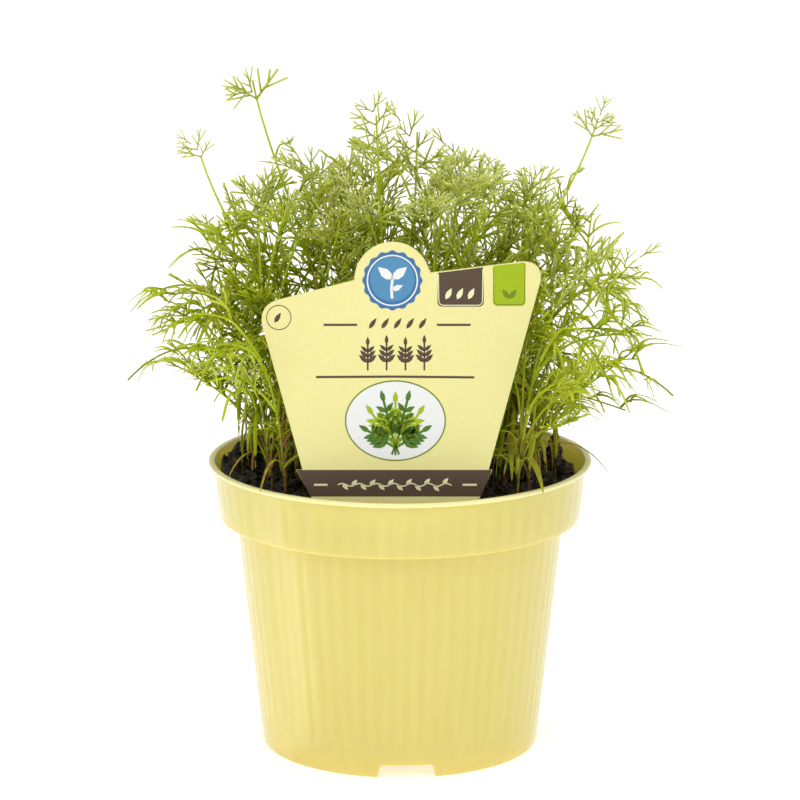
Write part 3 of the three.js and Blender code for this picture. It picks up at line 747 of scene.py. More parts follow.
def bend_points(start, corner, end):
    """A quadratic curve from start to end that pulls towards corner."""
    points = []
    for k in range(9):
        t = k / 8
        weights = ((1 - t) ** 2, 2 * t * (1 - t), t * t)
        points.append(tuple(sum(w * p[i] for w, p in zip(weights, (start, corner, end))) for i in (0, 1)))
    return points


def on_label(x, up, out=0.0):
    """A point of the card: x across, up along it, and out in front of its front face."""
    depth = -LABEL_THICKNESS / 2 - out
    y = depth * math.cos(LABEL_LEAN) + up * math.sin(LABEL_LEAN)
    z = depth * math.sin(LABEL_LEAN) + up * math.cos(LABEL_LEAN)
    return Vector((LABEL_FOOT[0] + x, LABEL_FOOT[1] + y, LABEL_FOOT[2] + z)) * MM


card_outline = [(-9, -36), (9, -36), (10, -7), (26.2, 0.8), (30.4, 10.2), (29.2, 10.2)]
card_outline += bend_points((46.1, 72.5), (46.9, 78.6), (40.6, 78.9))
card_outline += [(9.8, 75.2)]
card_outline += arc_points(BUMP_MIDDLE, BUMP_RADIUS, 11.5, 180, 30)
card_outline += bend_points((-39.2, 66.5), (-46.5, 64.9), (-45.3, 58))
card_outline += [(-32.1, 10.2), (-34.2, 10.2), (-29, 0.8), (-10, -7)]

card = bmesh.new()
front = [card.verts.new(on_label(x, up)) for x, up in card_outline]
back = [card.verts.new(on_label(x, up, -LABEL_THICKNESS)) for x, up in card_outline]
card.faces.new(front)
card.faces.new(back[::-1])
wall_between(card, back, front)
label = placed("label_card", turned_out("label_card", card))
rounding = label.modifiers.new("soft_edges", "BEVEL")
rounding.width = 0.12 * MM
rounding.segments = 2
rounding.limit_method = "ANGLE"
settle(label)

card_paint = Paint("speckled_card", IOR=1.45, Specular_IOR_Level=0.4)
pulp = card_paint.noise(0.0022, 5)
flecks = card_paint.noise(0.0006, 1).between(0.69, 0.73)
paper = card_paint.blend(pulp, (0.87, 0.80, 0.31, 1), (0.92, 0.865, 0.395, 1))
card_paint.feed(
    Base_Color=card_paint.blend(flecks * 0.2, paper, (0.55, 0.45, 0.17, 1)),
    Roughness=0.5 + 0.15 * pulp,
    Normal=card_paint.bump(card_paint.noise(0.0005, 3), 0.00003, 0.4),
)
label.data.materials.append(card_paint.material)
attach(label, "root")
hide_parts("label")


def ink(name, colour):
    """A printing ink: nearly even, with a little grain from the board under it."""
    paint = Paint(name, IOR=1.45, Specular_IOR_Level=0.4)
    grain = paint.noise(0.0009, 4)
    darker = tuple(0.9 * c for c in colour)
    paint.feed(
        Base_Color=paint.blend(grain, (*colour, 1), (*darker, 1)),
        Roughness=0.5 + 0.1 * grain,
        Normal=paint.bump(grain, 0.00002, 0.3),
    )
    return paint.material


INKS = {
    "brown": ink("brown_ink", (0.105, 0.066, 0.042)),
    "leaf": ink("leaf_green_ink", (0.40, 0.54, 0.004)),
    "moss": ink("moss_green_ink", (0.085, 0.21, 0.02)),
    "cream": ink("cream_ink", (0.95, 0.91, 0.55)),
    "white": ink("white_ink", (0.93, 0.94, 0.92)),
    "blue": ink("soft_blue_ink", (0.055, 0.19, 0.42)),
    "sky": ink("sky_blue_ink", (0.095, 0.30, 0.52)),
    "olive": ink("olive_line_ink", (0.19, 0.27, 0.01)),
}
prints = bmesh.new()


def patch(colour, loop, layer=1):
    """A flat inlay over a loop of (x, up). Higher layers lie over lower ones."""
    low = [prints.verts.new(on_label(x, up, -0.1)) for x, up in loop]
    high = [prints.verts.new(on_label(x, up, layer * INK_STEP)) for x, up in loop]
    faces = [prints.faces.new(high), prints.faces.new(low[::-1])]
    for face in faces + wall_between(prints, low, high):
        face.material_index = list(INKS).index(colour)


def stroke(colour, points, width, layer=1, closed=False):
    """A pen line of one width along points."""
    count = len(points)
    sides = []
    for k, point in enumerate(points):
        before = points[k - 1] if k or closed else point
        after = points[(k + 1) % count] if k < count - 1 or closed else point
        along = Vector((after[0] - before[0], after[1] - before[1])).normalized()
        off = Vector((-along.y, along.x)) * width / 2
        sides.append(((point[0] + off.x, point[1] + off.y), (point[0] - off.x, point[1] - off.y)))
    for k in range(count if closed else count - 1):
        a, b = sides[k], sides[(k + 1) % count]
        patch(colour, [a[1], b[1], b[0], a[0]], layer)


def disc(middle, radius, steps, squash=1.0, scallop=0.0, lobes=1):
    """A round patch, which may be squashed or have a scalloped edge."""
    points = []
    for turn in circle(steps):
        reach = radius * (1 + scallop * math.cos(lobes * turn))
        points.append((middle[0] + reach * math.cos(turn), middle[1] + squash * reach * math.sin(turn)))
    return points


def leaflet(colour, root, angle, length, width, layer):
    """A pointed leaf shape from its root."""
    turn = math.radians(angle)
    along = Vector((math.cos(turn), math.sin(turn)))
    off = Vector((-along.y, along.x))
    outline = [(0, 0), (0.25, 0.8), (0.55, 0.9), (0.85, 0.35), (1, 0)]
    outline += [(s, -w) for s, w in outline[-2:0:-1]]
    root = Vector(root)
    places = [root + along * length * s + off * width / 2 * w for s, w in outline]
    patch(colour, [tuple(p) for p in places], layer)


# The band along the foot of the card: two dashes, and a trailing vine between them
patch("brown", [(-29.4, 1.5), (26.6, 1.5), (30.3, 10.3), (-34.1, 10.3)])
for start, end in ((-28.4, -23.9), (20.6, 25.3)):
    stroke("cream", [(start, 5.4), (end, 5.4)], 0.7, 2)
vine = [(-20.5 + 0.5 * k, 5.4 + 0.45 * math.sin(k * 0.55)) for k in range(76)]
stroke("cream", vine, 0.42, 2)
for k in range(12):
    leaf_x, leaf_up = vine[3 + k * 6]
    leaflet("cream", (leaf_x, leaf_up), 48 if k % 2 else -48, 2.9, 1.5, 2)

# The scalloped disc on the card's head, with a seedling
patch("blue", disc(BUMP_MIDDLE, 9.6, 96, 1, 0.035, 16))
patch("sky", disc((BUMP_MIDDLE[0], BUMP_MIDDLE[1] + 0.4), 7.3, 60), 2)
stroke("white", disc(BUMP_MIDDLE, 8.2, 60), 0.45, 2, True)
stroke("white", [(-2.6, 66.9), (-2.8, 70), (-2.4, 74.2)], 0.9, 3)
leaflet("white", (-2.5, 73.2), 40, 6.2, 3.3, 3)
leaflet("white", (-2.5, 73.2), 140, 6.2, 3.3, 3)
leaflet("white", (-2.7, 69.6), 24, 4.0, 2.0, 3)


# Two coloured tabs that hang from the top edge, each with a thin inner line and a small leaf
def tab(colour, line, left, right, top_left, top_right, bottom):
    corner = 1.5
    base = arc_points((right - corner, bottom + corner), corner, 0, -90, 6)
    base += arc_points((left + corner, bottom + corner), corner, -90, -180, 6)
    patch(colour, [(left + 0.2, top_left), (right - 0.2, top_right)] + base)
    inner = [(x * 0.94 + 0.06 * (left + right) / 2, up + 0.45) for x, up in base]
    start = (inner[0][0] + 0.15, top_right - 0.5)
    stroke(line, [start] + inner + [(inner[-1][0] - 0.15, top_left - 0.5)], 0.28, 2)


tab("brown", "cream", 12.3, 27.5, 75.3, 77.1, 64.2)
tab("leaf", "olive", 30.5, 41.2, 77.6, 78.7, 64.4)
for leaf_x in (16.2, 19.9, 23.6):
    leaflet("cream", (leaf_x - 1.2, 66.6), 62, 4.2, 1.9, 2)
leaflet("olive", (35.9, 66.8), 128, 3.9, 1.9, 2)
leaflet("olive", (35.9, 66.8), 52, 3.9, 1.9, 2)

# A small ring near the left corner with a leaf in it, and the rules
stroke("brown", disc((-39.8, 60.6), 4.0, 40), 0.28, 1, True)
leaflet("brown", (-41.2, 58.9), 58, 3.9, 1.7, 1)
for start, end in ((-25.1, -14.1), (12.1, 23.2)):
    stroke("brown", [(start, 58.2), (end, 58.2)], 0.75)
stroke("brown", [(-27.6, 41.0), (-2, 41.15), (24.4, 40.9)], 0.75)


def sprout(colour, root, height, tilt, pairs, long, wide, layer):
    """A drawn herb: an upright stem with pairs of leaves that shorten upwards, and one on top."""
    lean = math.radians(90 + tilt)
    along = Vector((math.cos(lean), math.sin(lean)))
    top = Vector(root) + along * height
    stroke(colour, [root, tuple(top)], 0.55 * wide / 1.6, layer)
    for pair in range(pairs):
        place = Vector(root) + along * height * (0.3 + 0.62 * pair / pairs)
        size = 1 - 0.32 * pair / pairs
        for side in (-1, 1):
            leaflet(colour, tuple(place), 90 + tilt + side * 48, long * size, wide * size, layer)
    leaflet(colour, tuple(top - along * 0.4), 90 + tilt, long * 0.8, wide * 0.8, layer)


# A row of small leaves between the dashes, and a row of herbs below it
for k in range(5):
    leaflet("brown", (-10.2 + 4.1 * k, 56.9), 55, 4.4, 1.6, 1)
for herb_x, height in ((-10.6, 8.4), (-4.4, 9.0), (1.8, 8.4), (8.0, 9.0)):
    sprout("brown", (herb_x, 43.2), height, 0, 3, 3.9, 1.7, 1)

# A round-ended medallion with a bunch of cut herbs, in the middle of the lower half
patch("white", disc((-1.5, 26.6), 16.4, 72, 0.80))
stroke("olive", disc((-1.5, 26.6), 16.4, 72, 0.80), 0.45, 2, True)
for tilt, height, colour in (
    (58, 10.5, "moss"),
    (-58, 10.5, "moss"),
    (34, 13.5, "leaf"),
    (-34, 13.5, "leaf"),
    (14, 16, "moss"),
    (-14, 16, "moss"),
    (0, 15, "leaf"),
):
    sprout(colour, (-1.5, 17.6), height, tilt, 4, 5.2, 2.3, 3)
stroke("olive", [(-3.4, 20.6), (-1.5, 20.0), (0.4, 20.6)], 1.1, 4)
for tilt in (-22, 0, 22):
    turn = math.radians(-90 + tilt)
    end = (-1.5 + 3.2 * math.cos(turn), 18.4 + 3.2 * math.sin(turn))
    stroke("moss", [(-1.5, 18.6), end], 0.7, 3)

print_mesh = turned_out("label_print", prints)
for material in INKS.values():
    print_mesh.materials.append(material)
label_print = placed("label_print", print_mesh)
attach(label_print, "root")

# Dill. Twenty-two living shoots, each with thread-fine leaves on long stalks. The routes of the
# shoots and of the main leaves are those of the solids, in millimetres, found by the same rule;
# more leaves are then added between them. Geometry Nodes grow the stalks and set the sprigs.
NEIGHBOUR_GAP = 0.35
NODE_LENGTH = 1.5
SHOOT_START = SOIL_LEVEL + 6
ROOT_DEPTH_LEVEL = 86
STEM_RADIUS = 1.1
STEM_TIP_RADIUS = 0.55
SOLID_HALF = (93.5, 84)
LOW_CROWN = 165
HANGING_CROWN = 147
CROWN_BLADE = 22
LOW_CROWN_BLADE = 34
LEAVES = [
    {"share": 0.3, "reach": 37, "lift": 9, "blade": 23},
    {"share": 0.52, "reach": 30, "lift": 14, "blade": 20},
    {"share": 0.75, "reach": 21, "lift": 17, "blade": 16},
]
SWINGS = [0, 0.3, -0.3, 0.6, -0.6, 0.9, -0.9, 1.3, -1.3, 1.8, -1.8, 2.4]
PLANTS = [
    ((-20, 4), (-50, 5, 231.5), (0, 1)),
    ((-31, -8), (-67, -14, 209), (0, 1)),
    ((-24, 18), (-56, 27, 190), (0, 1, 2)),
    ((-10, 10), (-29, 12, 204), (1, 2)),
    ((-4, -6), (-8, -4, 221), (1, 2)),
    ((3, 10), (6, 18, 214), (1, 2)),
    ((8, -12), (15, -12, 204), (1, 2)),
    ((15, 3), (30, 4, 199), (1, 2)),
    ((26, -6), (67, -4, 220), (0, 1)),
    ((25, 14), (52, 22, 190), (0, 1, 2)),
    ((35, -15), (76, -16, 176), (0, 1, 2)),
    ((37, 8), (82, 24, 156), (0, 1, 2)),
    ((43, -24), (90, -38, 129), (0, 1)),
    ((-43, -21), (-90, -32, 133), (0, 1)),
    ((-38, 9), (-82, 20, 153), (0, 1, 2)),
    ((0, 36), (-3, 83, 148), (0, 1, 2)),
    ((-19, 36), (-46, 68, 158), (0, 1, 2)),
    ((19, 36), (44, 69, 162), (0, 1, 2)),
    ((-8, 23), (-16, 43, 196), (1, 2)),
    ((11, 24), (22, 46, 200), (1, 2)),
    ((-38, -36), (-65, -79, 140), (0, 1)),
    ((39, -37), (67, -79, 142), (0, 1)),
]
UP = np.array((0.0, 0.0, 1.0))


def draw(i, j):
    """A repeatable number from 0 to 1 for two whole numbers."""
    wave = math.sin(i * 12.9898 + j * 78.233) * 43758.5453
    return wave - math.floor(wave)


def stray(i, j, size):
    """A repeatable number up to half a size to either side of zero."""
    return size * (draw(i, j) - 0.5)


def heading(azimuth, elevation=0.0):
    flat = math.cos(elevation)
    return np.array((math.cos(azimuth) * flat, math.sin(azimuth) * flat, math.sin(elevation)))


def unit(v):
    return v / np.linalg.norm(v)


class Route:
    """A Bezier curve that is read by its share of length, in millimetres."""

    def __init__(self, *handles):
        self.handles = [np.array(h, float) for h in handles]
        steps = [self.at(k / 200) for k in range(201)]
        gaps = [np.linalg.norm(b - a) for a, b in zip(steps, steps[1:])]
        self.walked = np.concatenate(([0], np.cumsum(gaps)))
        self.length = self.walked[-1]

    def at(self, t):
        points = self.handles
        while len(points) > 1:
            points = [a + (b - a) * t for a, b in zip(points, points[1:])]
        return points[0]

    def parameter(self, share):
        return float(np.interp(share * self.length, self.walked, np.linspace(0, 1, 201)))

    def point(self, share):
        return self.at(self.parameter(share))

    def along(self, share):
        t = self.parameter(share)
        return unit(self.at(min(1, t + 1e-4)) - self.at(max(0, t - 1e-4)))


def rod_gap(a, b):
    """Clear distance between two round-ended rods (start, end, radius)."""
    u = a[1] - a[0]
    v = b[1] - b[0]
    w = a[0] - b[0]
    uu, uv, vv, uw, vw = u @ u, u @ v, v @ v, u @ w, v @ w
    spread = uu * vv - uv * uv
    s = min(1, max(0, (uv * vw - vv * uw) / spread)) if spread > 1e-9 else 0
    t = min(1, max(0, (uv * s + vw) / vv))
    s = min(1, max(0, (uv * t - uw) / uu))
    return np.linalg.norm(w + u * s - v * t) - a[2] - b[2]


def within(point, half):
    return abs(point[0]) < half[0] and abs(point[1]) < half[1]


def behind_label(point):
    """Behind the leaning card, or clear of its outline at the sides and above."""
    up = point[2] - LABEL_FOOT[2]
    beside = abs(point[0]) > 33 + 0.27 * max(0, up) or up > 92
    return beside or point[1] > LABEL_FOOT[1] + 2.2 + up * math.tan(LABEL_LEAN)


def inside_bunch(point):
    """Over the soil, or over the lip and outside the collar, and not too far out."""
    reach = math.hypot(point[0], point[1])
    over_lip = POT_HEIGHT + 0.8 if reach > 56 else SOIL_LEVEL + 5.5
    lowest = over_lip if reach < 66 else POT_HEIGHT - 12
    return point[2] > lowest and within(point, SOLID_HALF)


def stalk_rods(route, bare, blade, nodes, radius_at):
    """The stretches of a stalk as rods, cut at the same places as in the solid."""
    stalk = route.length - blade
    steps = max(2, math.floor(stalk / bare + 0.5))
    places = [i * stalk / steps for i in range(steps)]
    for i in range(nodes):
        s = stalk + i * blade / nodes
        places += [s, s + NODE_LENGTH]
    shares = [s / route.length for s in places]
    points = [route.point(share) for share in shares] + [route.point(1)]
    return [(a, b, radius_at(share) * 0.9) for a, b, share in zip(points, points[1:], shares)]


def shoot_of(foot, crown):
    """A shoot's route from its foot to its crown, its blade's length, and the way it leans."""
    start = np.array((*foot, SHOOT_START), float)
    crown = np.array(crown, float)
    rise = crown[2] - start[2]
    outward = np.array((crown[0] - start[0], crown[1] - start[1], 0))
    if crown[2] < LOW_CROWN:
        droop = 0.55 if crown[2] < HANGING_CROWN else 0.15
        first = start + UP * rise * (0.75 + droop) + outward * 0.1
        second = crown + outward * -0.4 + UP * rise * droop
        blade = LOW_CROWN_BLADE
    else:
        first = start + UP * rise * 0.5 + outward * 0.05
        second = crown + outward * -0.2 - UP * rise * 0.28
        blade = CROWN_BLADE
    return Route(start, first, second, crown), blade, math.atan2(outward[1], outward[0])


def leaf_of(shoot, spread, index, k, swing):
    """A main leaf's route and direction, with its direction swung aside by an angle."""
    leaf = LEAVES[k]
    root = shoot.point(leaf["share"] + stray(index, k + 20, 0.06))
    hand = 1 if (index + k) % 2 else -1
    azimuth = spread + hand * (0.7 + 0.6 * draw(index, k + 40)) + swing
    reach = leaf["reach"] + 5 * draw(index, k + 60)
    lift = leaf["lift"] + 8 * draw(index, k + 80)
    away = heading(azimuth)
    middle = root + away * reach * 0.42 + UP * (lift * 0.5 + 12)
    return Route(root, middle, root + away * reach + UP * lift), azimuth


def stem_radius(share):
    return STEM_RADIUS + (STEM_TIP_RADIUS - STEM_RADIUS) * share


def leaf_radius(share):
    return 0.4 if share < 0.02 else 0.7 - 0.22 * share


shoots = [shoot_of(foot, crown) for foot, crown, _ in PLANTS]
rods = []
for index, (route, blade, _) in enumerate(shoots):
    foot = np.array((*PLANTS[index][0], ROOT_DEPTH_LEVEL), float)
    rods.append((index, (foot, route.point(0), STEM_RADIUS * 0.9)))
    rods += [(index, rod) for rod in stalk_rods(route, 15, blade, 3, stem_radius)]

main_leaves = [[] for _ in PLANTS]
for index, (_, _, wanted) in enumerate(PLANTS):
    for k in wanted:
        for swing in SWINGS:
            route, azimuth = leaf_of(shoots[index][0], shoots[index][2], index, k, swing)
            grown = stalk_rods(route, 11, LEAVES[k]["blade"], 2, leaf_radius)
            others = [rod for owner, rod in rods if owner != index]
            inside = all(behind_label(a) and behind_label(b) and inside_bunch(b) for a, b, _ in grown[1:])
            if inside and all(rod_gap(a, b) > NEIGHBOUR_GAP for a in grown for b in others):
                rods += [(index, rod) for rod in grown]
                main_leaves[index].append((route, azimuth, k))
                break

SPINE_STEP = 2.6
STALK, STRAP, SPRIG = 0, 1, 2
UPPER_SHAPES = 5
LOWER_SHAPES = 6
UPPER_LENGTH = 8.0
LOWER_LENGTH = 14.0
THREAD_WIDTH = 0.76
LONG_THREAD_WIDTH = 1.2


def thread(mesh, start, direction, length, droop, width, rings, ends):
    """One leaf thread: a three-sided tube that droops, closed, with a blunt end."""
    direction = unit(np.array(direction, float))
    side = unit(np.cross(direction, (0.02, 0.03, 1)))
    over = np.cross(side, direction)
    laid = []
    for i in range(rings):
        share = 0.94 * i / (rings - 1)
        centre = np.array(start) + direction * length * share - UP * droop * length * share ** 2.4
        ring = []
        for turn in (90, 210, 330):
            a = math.radians(turn)
            off = side * math.cos(a) + over * math.sin(a)
            thick = width / 2 * (0.75 + 0.8 * share - 0.85 * share * share)
            ring.append(mesh.verts.new(Vector((centre + off * thick) * MM)))
            ring[-1][ends] = share
        laid.append(ring)
    tip = np.array(start) + direction * length - UP * droop * length
    apex = mesh.verts.new(Vector(tip * MM))
    apex[ends] = 1.0
    mesh.faces.new(laid[0])
    for lower, upper in zip(laid, laid[1:]):
        for k in range(3):
            mesh.faces.new((lower[k], upper[k], upper[(k + 1) % 3], lower[(k + 1) % 3]))
    for k in range(3):
        mesh.faces.new((laid[-1][k], apex, laid[-1][(k + 1) % 3]))


def forked(mesh, key, ends, forks, whole, droop, width, rings, rise):
    """A middle thread along +X that carries shorter threads, each given by place, lean and length."""
    seed = key * 13 + 5
    thread(mesh, (0, 0, 0), (1, stray(seed, 1, 0.14), rise / 2), whole, droop, width, rings, ends)
    for j, (x, lean, length) in enumerate(forks):
        turn = math.radians(lean + stray(seed, j + 10, 18))
        aim = (math.cos(turn), math.sin(turn), rise + stray(seed, j + 20, 0.55))
        place = (x + stray(seed, j + 50, 0.5), 0, x * rise / 2 - droop * x * x / whole)
        reach = length + stray(seed, j + 30, 0.3 * length)
        thread(mesh, place, aim, reach, droop * 0.9, width * 0.93, rings, ends)


def upper_sprig(mesh, key, ends):
    """A short fan of straight forked threads, as on the high leaves."""
    forks = [(1.7, 34, 5.4), (2.6, -31, 5.0), (4.5, 28, 3.4), (5.0, -27, 3.0)]
    forked(mesh, key, ends, forks[: 3 + key % 2], UPPER_LENGTH, 0.05, THREAD_WIDTH, 2, 0.1)


def lower_sprig(mesh, key, ends):
    """A loose spray of long hooked threads, as on the low leaves."""
    forks = [(2.2, 40, 11.5), (4.4, -36, 10.0)]
    droop = 0.5 + 0.13 * key
    forked(mesh, key + 40, ends, forks[: 1 + key % 2], LOWER_LENGTH, droop, LONG_THREAD_WIDTH, 6, 0.5)


def sprig_object(number, grow, key):
    """One shape of sprig, which Geometry Nodes copy."""
    sprig = bmesh.new()
    grow(sprig, key, sprig.verts.layers.float.new("ends"))
    name = f"sprig_{number}"
    mesh = turned_out(name, sprig)
    mesh.shade_smooth()
    return bpy.data.objects.new(name, mesh)


upper_shapes = [sprig_object(k, upper_sprig, k) for k in range(UPPER_SHAPES)]
lower_shapes = [sprig_object(UPPER_SHAPES + k, lower_sprig, k) for k in range(LOWER_SHAPES)]
sprig_tray = sampler("sprigs", upper_shapes + lower_shapes)

growth = Tree(
    "growing_dill",
    {
        "Sprigs": "Collection",
        "Stalk Sides": "Int",
        "Strap Thickness": "Float",
        "Finish": "Material",
    },
)


def named(attribute, kind):
    """A fact that the skeleton states at each of its points."""
    return growth.node("GeometryNodeInputNamedAttribute", {"data_type": kind}, {"Name": attribute})


def chosen(kind):
    """The part of the skeleton whose points are of one kind."""
    settings = {"data_type": "INT", "operation": "EQUAL"}
    same = growth.node("FunctionNodeCompare", settings, {2: named("kind", "INT"), 3: kind})
    sockets = {"Geometry": growth.given("Geometry"), "Selection": same}
    return growth.node("GeometryNodeSeparateGeometry", sockets=sockets)


def lines(kind):
    return growth.node("GeometryNodeMeshToCurve", sockets={"Mesh": chosen(kind)})


def ring(sides):
    sockets = {"Resolution": sides, "Radius": 1.0}
    return growth.node("GeometryNodeCurvePrimitiveCircle", sockets=sockets)


def swept(line, profile):
    """A profile drawn along lines, as thick as the skeleton states, with closed ends."""
    sockets = {"Curve": line, "Profile Curve": profile, "Scale": thickness, "Fill Caps": True}
    return growth.node("GeometryNodeCurveToMesh", sockets=sockets)


thickness = named("size", "FLOAT")
stalks = swept(lines(STALK), ring(growth.given("Stalk Sides")))
level_lines = growth.node("GeometryNodeSetCurveNormal", {"mode": "Z_UP"}, {"Curve": lines(STRAP)})
flat = growth.node("ShaderNodeCombineXYZ", sockets={0: 1.0, 1: growth.given("Strap Thickness"), 2: 1.0})
flat_ring = growth.node("GeometryNodeTransform", sockets={"Geometry": ring(8), "Scale": flat})
straps = swept(level_lines, flat_ring)
buds = growth.node("GeometryNodeMeshToPoints", sockets={"Mesh": chosen(SPRIG)})
facts = {"Instance Index": named("shape", "INT"), "Rotation": named("turn", "FLOAT_VECTOR")}
sprigs = growth.copies(buds, growth.given("Sprigs"), {**facts, "Scale": thickness})
growth.finish(growth.join(stalks, straps, sprigs), smooth=True)


class Skeleton:
    """The points from which one plant is grown, with what Geometry Nodes need at each."""

    def __init__(self):
        self.points = []
        self.edges = []
        self.facts = {"kind": [], "size": [], "shape": [], "turn": [], "tint": [], "age": []}

    def add(self, place, kind, size, shape=0, turn=(0, 0, 0), tint=0.5, age=0.0):
        self.points.append(tuple(np.array(place) * MM))
        for key, value in zip(self.facts, (kind, size, shape, turn, tint, age)):
            self.facts[key].append(value)

    def line(self, kind, places, sizes, tint, ages):
        first = len(self.points)
        for place, size, age in zip(places, sizes, ages):
            self.add(place, kind, size * MM, tint=tint, age=age)
        self.edges += [(k, k + 1) for k in range(first, len(self.points) - 1)]

    def sprig(self, place, along, up, size, shape, tint, age):
        """A point for a sprig that runs along one direction, with its upper side to another."""
        x = unit(along)
        y = unit(np.cross(up, x))
        frame3 = Matrix((x, y, np.cross(x, y))).transposed()
        self.add(place, SPRIG, size, shape, tuple(frame3.to_euler()), tint, age)

    def mesh(self, name):
        mesh = bpy.data.meshes.new(name)
        mesh.from_pydata(self.points, self.edges, [])
        kinds = {"kind": "INT", "shape": "INT", "size": "FLOAT", "tint": "FLOAT", "age": "FLOAT"}
        for key, kind in kinds.items():
            mesh.attributes.new(key, kind, "POINT").data.foreach_set("value", self.facts[key])
        turns = np.array(self.facts["turn"], float).ravel()
        mesh.attributes.new("turn", "FLOAT_VECTOR", "POINT").data.foreach_set("vector", turns)
        return mesh


BROWNED = (0.25, 0.115, 0.04, 1)
dill_paint = Paint(
    "dill_green",
    IOR=1.38,
    Specular_IOR_Level=0.18,
    Subsurface_Weight=0.45,
    Subsurface_Radius=(1.0, 1.0, 0.2),
    Subsurface_Scale=0.0012,
)
mottle = dill_paint.noise(0.009, 3)
# Painted light: leaves are painted lighter with height, painted light on the top of the bunch and painted
# shade under it
high = dill_paint.along(2).between(0.15, 0.2)
tone = dill_paint.attribute("tint") + 0.4 * (mottle - 0.5) - 0.08
tone = tone + 0.24 * dill_paint.attribute("ends") + 0.36 * high
fresh = dill_paint.node(
    "ShaderNodeValToRGB",
    {
        "stops": [
            (0.0, (0.12, 0.15, 0.003)),
            (0.3, (0.275, 0.35, 0.006)),
            (0.62, (0.46, 0.55, 0.022)),
            (1.0, (0.63, 0.69, 0.19)),
        ]
    },
    {"Fac": tone},
)
near_soil = 1 - dill_paint.along(2).between(0.097, 0.118)
patches = dill_paint.noise(0.004, 2)
blush = dill_paint.attribute("age") * (0.6 + 0.8 * patches)
blush = blush + 0.9 * near_soil * patches.between(0.4, 0.7)
old = dill_paint.blend(blush.between(0.1, 0.9), fresh, BROWNED)
dill_paint.feed(
    Base_Color=old,
    Roughness=0.5 + 0.25 * mottle,
    Normal=dill_paint.bump(dill_paint.noise(0.0006, 2, (1, 1, 0.2)), 0.00005, 0.4),
)


BUNCH_HALF = (95, 82)
BLADE_HALF = (90, 80)
LEAF_STALK_RADIUS = 0.46
SHAPES_HIGH = (0, UPPER_SHAPES, UPPER_LENGTH)
SHAPES_LOW = (UPPER_SHAPES, LOWER_SHAPES, LOWER_LENGTH)


def top_of_bunch(place):
    """How high the leaves may reach at a place, apart from the crowns of the tall shoots."""
    reach = math.hypot(place[0] * 0.98, place[1])
    line = (0, 33, 57, 70, 80, 88, 93, 97)
    return float(np.interp(reach, line, (212, 200, 191, 178, 160, 141, 125, 112)))


def above_the_rim(place):
    """High enough that the open view over the pot's lip stays free."""
    line = (-62, -54, -40, -36, 36, 40, 60, 84, 90)
    lowest = np.interp(place[0], line, (128, 113, 106, 0, 0, 106, 113, 116, 128))
    return place[2] > lowest - 0.22 * place[1]


def clear_of_pot(place):
    """Over the soil and the lip, or outside the collar."""
    reach = math.hypot(place[0], place[1])
    if reach > RIM_RADIUS + 4:
        return place[2] > POT_HEIGHT - 12
    return place[2] > (POT_HEIGHT + 2.5 if reach > 56 else SOIL_LEVEL + 6)


def free(places):
    return all(behind_label(place) and clear_of_pot(place) for place in places)


def feather(plant, stalk, blade, up, pairs, sprig, low, key, tint, age=0.0, ceiling=None):
    """Grows a leaf: its stalk, where it has one, and pairs of sprigs along its blade."""
    spine = []
    for route, start in ((stalk, 0), (blade, 1)):
        if route:
            count = max(4, round(route.length / SPINE_STEP))
            spine += [route.point(k / count) for k in range(start, count + 1)]
    if not free(spine[2:]):
        return
    if stalk:
        walk = [k / (len(spine) - 1) for k in range(len(spine))]
        wide = [LEAF_STALK_RADIUS * (1 + 0.5 * max(0, 1 - 12 * s) - 0.45 * s) for s in walk]
        plant.line(STALK, spine, wide, tint, [age * (1 - s) for s in walk])

    def set_sprig(share, aim, top, length, chance):
        """Sets a sprig, raised as far as it must be to stay in the open."""
        place = blade.point(share)
        side = np.cross(top, aim) * length * (0.6 if low else 0.45)
        sag = UP * length * (0.55 if low else 0.05)
        for lift in (0, 0.35, 0.7, 1.1):
            raised = unit(aim + UP * lift)
            tip = place + raised * length - sag
            reaches = [place, place + raised * length / 2, tip, tip + side, tip - side]
            inside = all(within(p, BUNCH_HALF) for p in reaches) and above_the_rim(tip)
            if free(reaches) and inside and tip[2] < (ceiling or top_of_bunch(tip) + 10):
                first, count, whole = SHAPES_LOW if low else SHAPES_HIGH
                shape = first + math.floor(draw(chance, 31) * count)
                over = unit(UP + 0.3 * top) if low else top
                shade = tint + stray(chance, 47, 0.16)
                plant.sprig(place, raised, over, length / whole, shape, shade, age * 0.3)
                return

    for pair in range(pairs):
        share = 0.88 * (pair / pairs) ** 0.95
        along = blade.along(share)
        right = unit(np.cross(along, up))
        top = np.cross(right, along)
        for side in (-1, 1):
            chance = key * 7 + pair * 3
            pitch = math.radians(54 - 20 * pair / pairs + stray(chance, side + 3, 18))
            roll = 0.25 + stray(chance, side + 9, 0.8)
            outward = right * side * math.cos(roll) + top * math.sin(roll)
            aim = along * math.cos(pitch) + outward * math.sin(pitch)
            length = sprig * (1 - 0.4 * pair / pairs) * (0.8 + 0.4 * draw(chance, side + 15))
            set_sprig(share, aim, top, length, chance + side)
    along = blade.along(0.97)
    top = np.cross(unit(np.cross(along, up)), along)
    set_sprig(0.92, along, top, sprig * (1.1 if low else 0.75), key + 5)


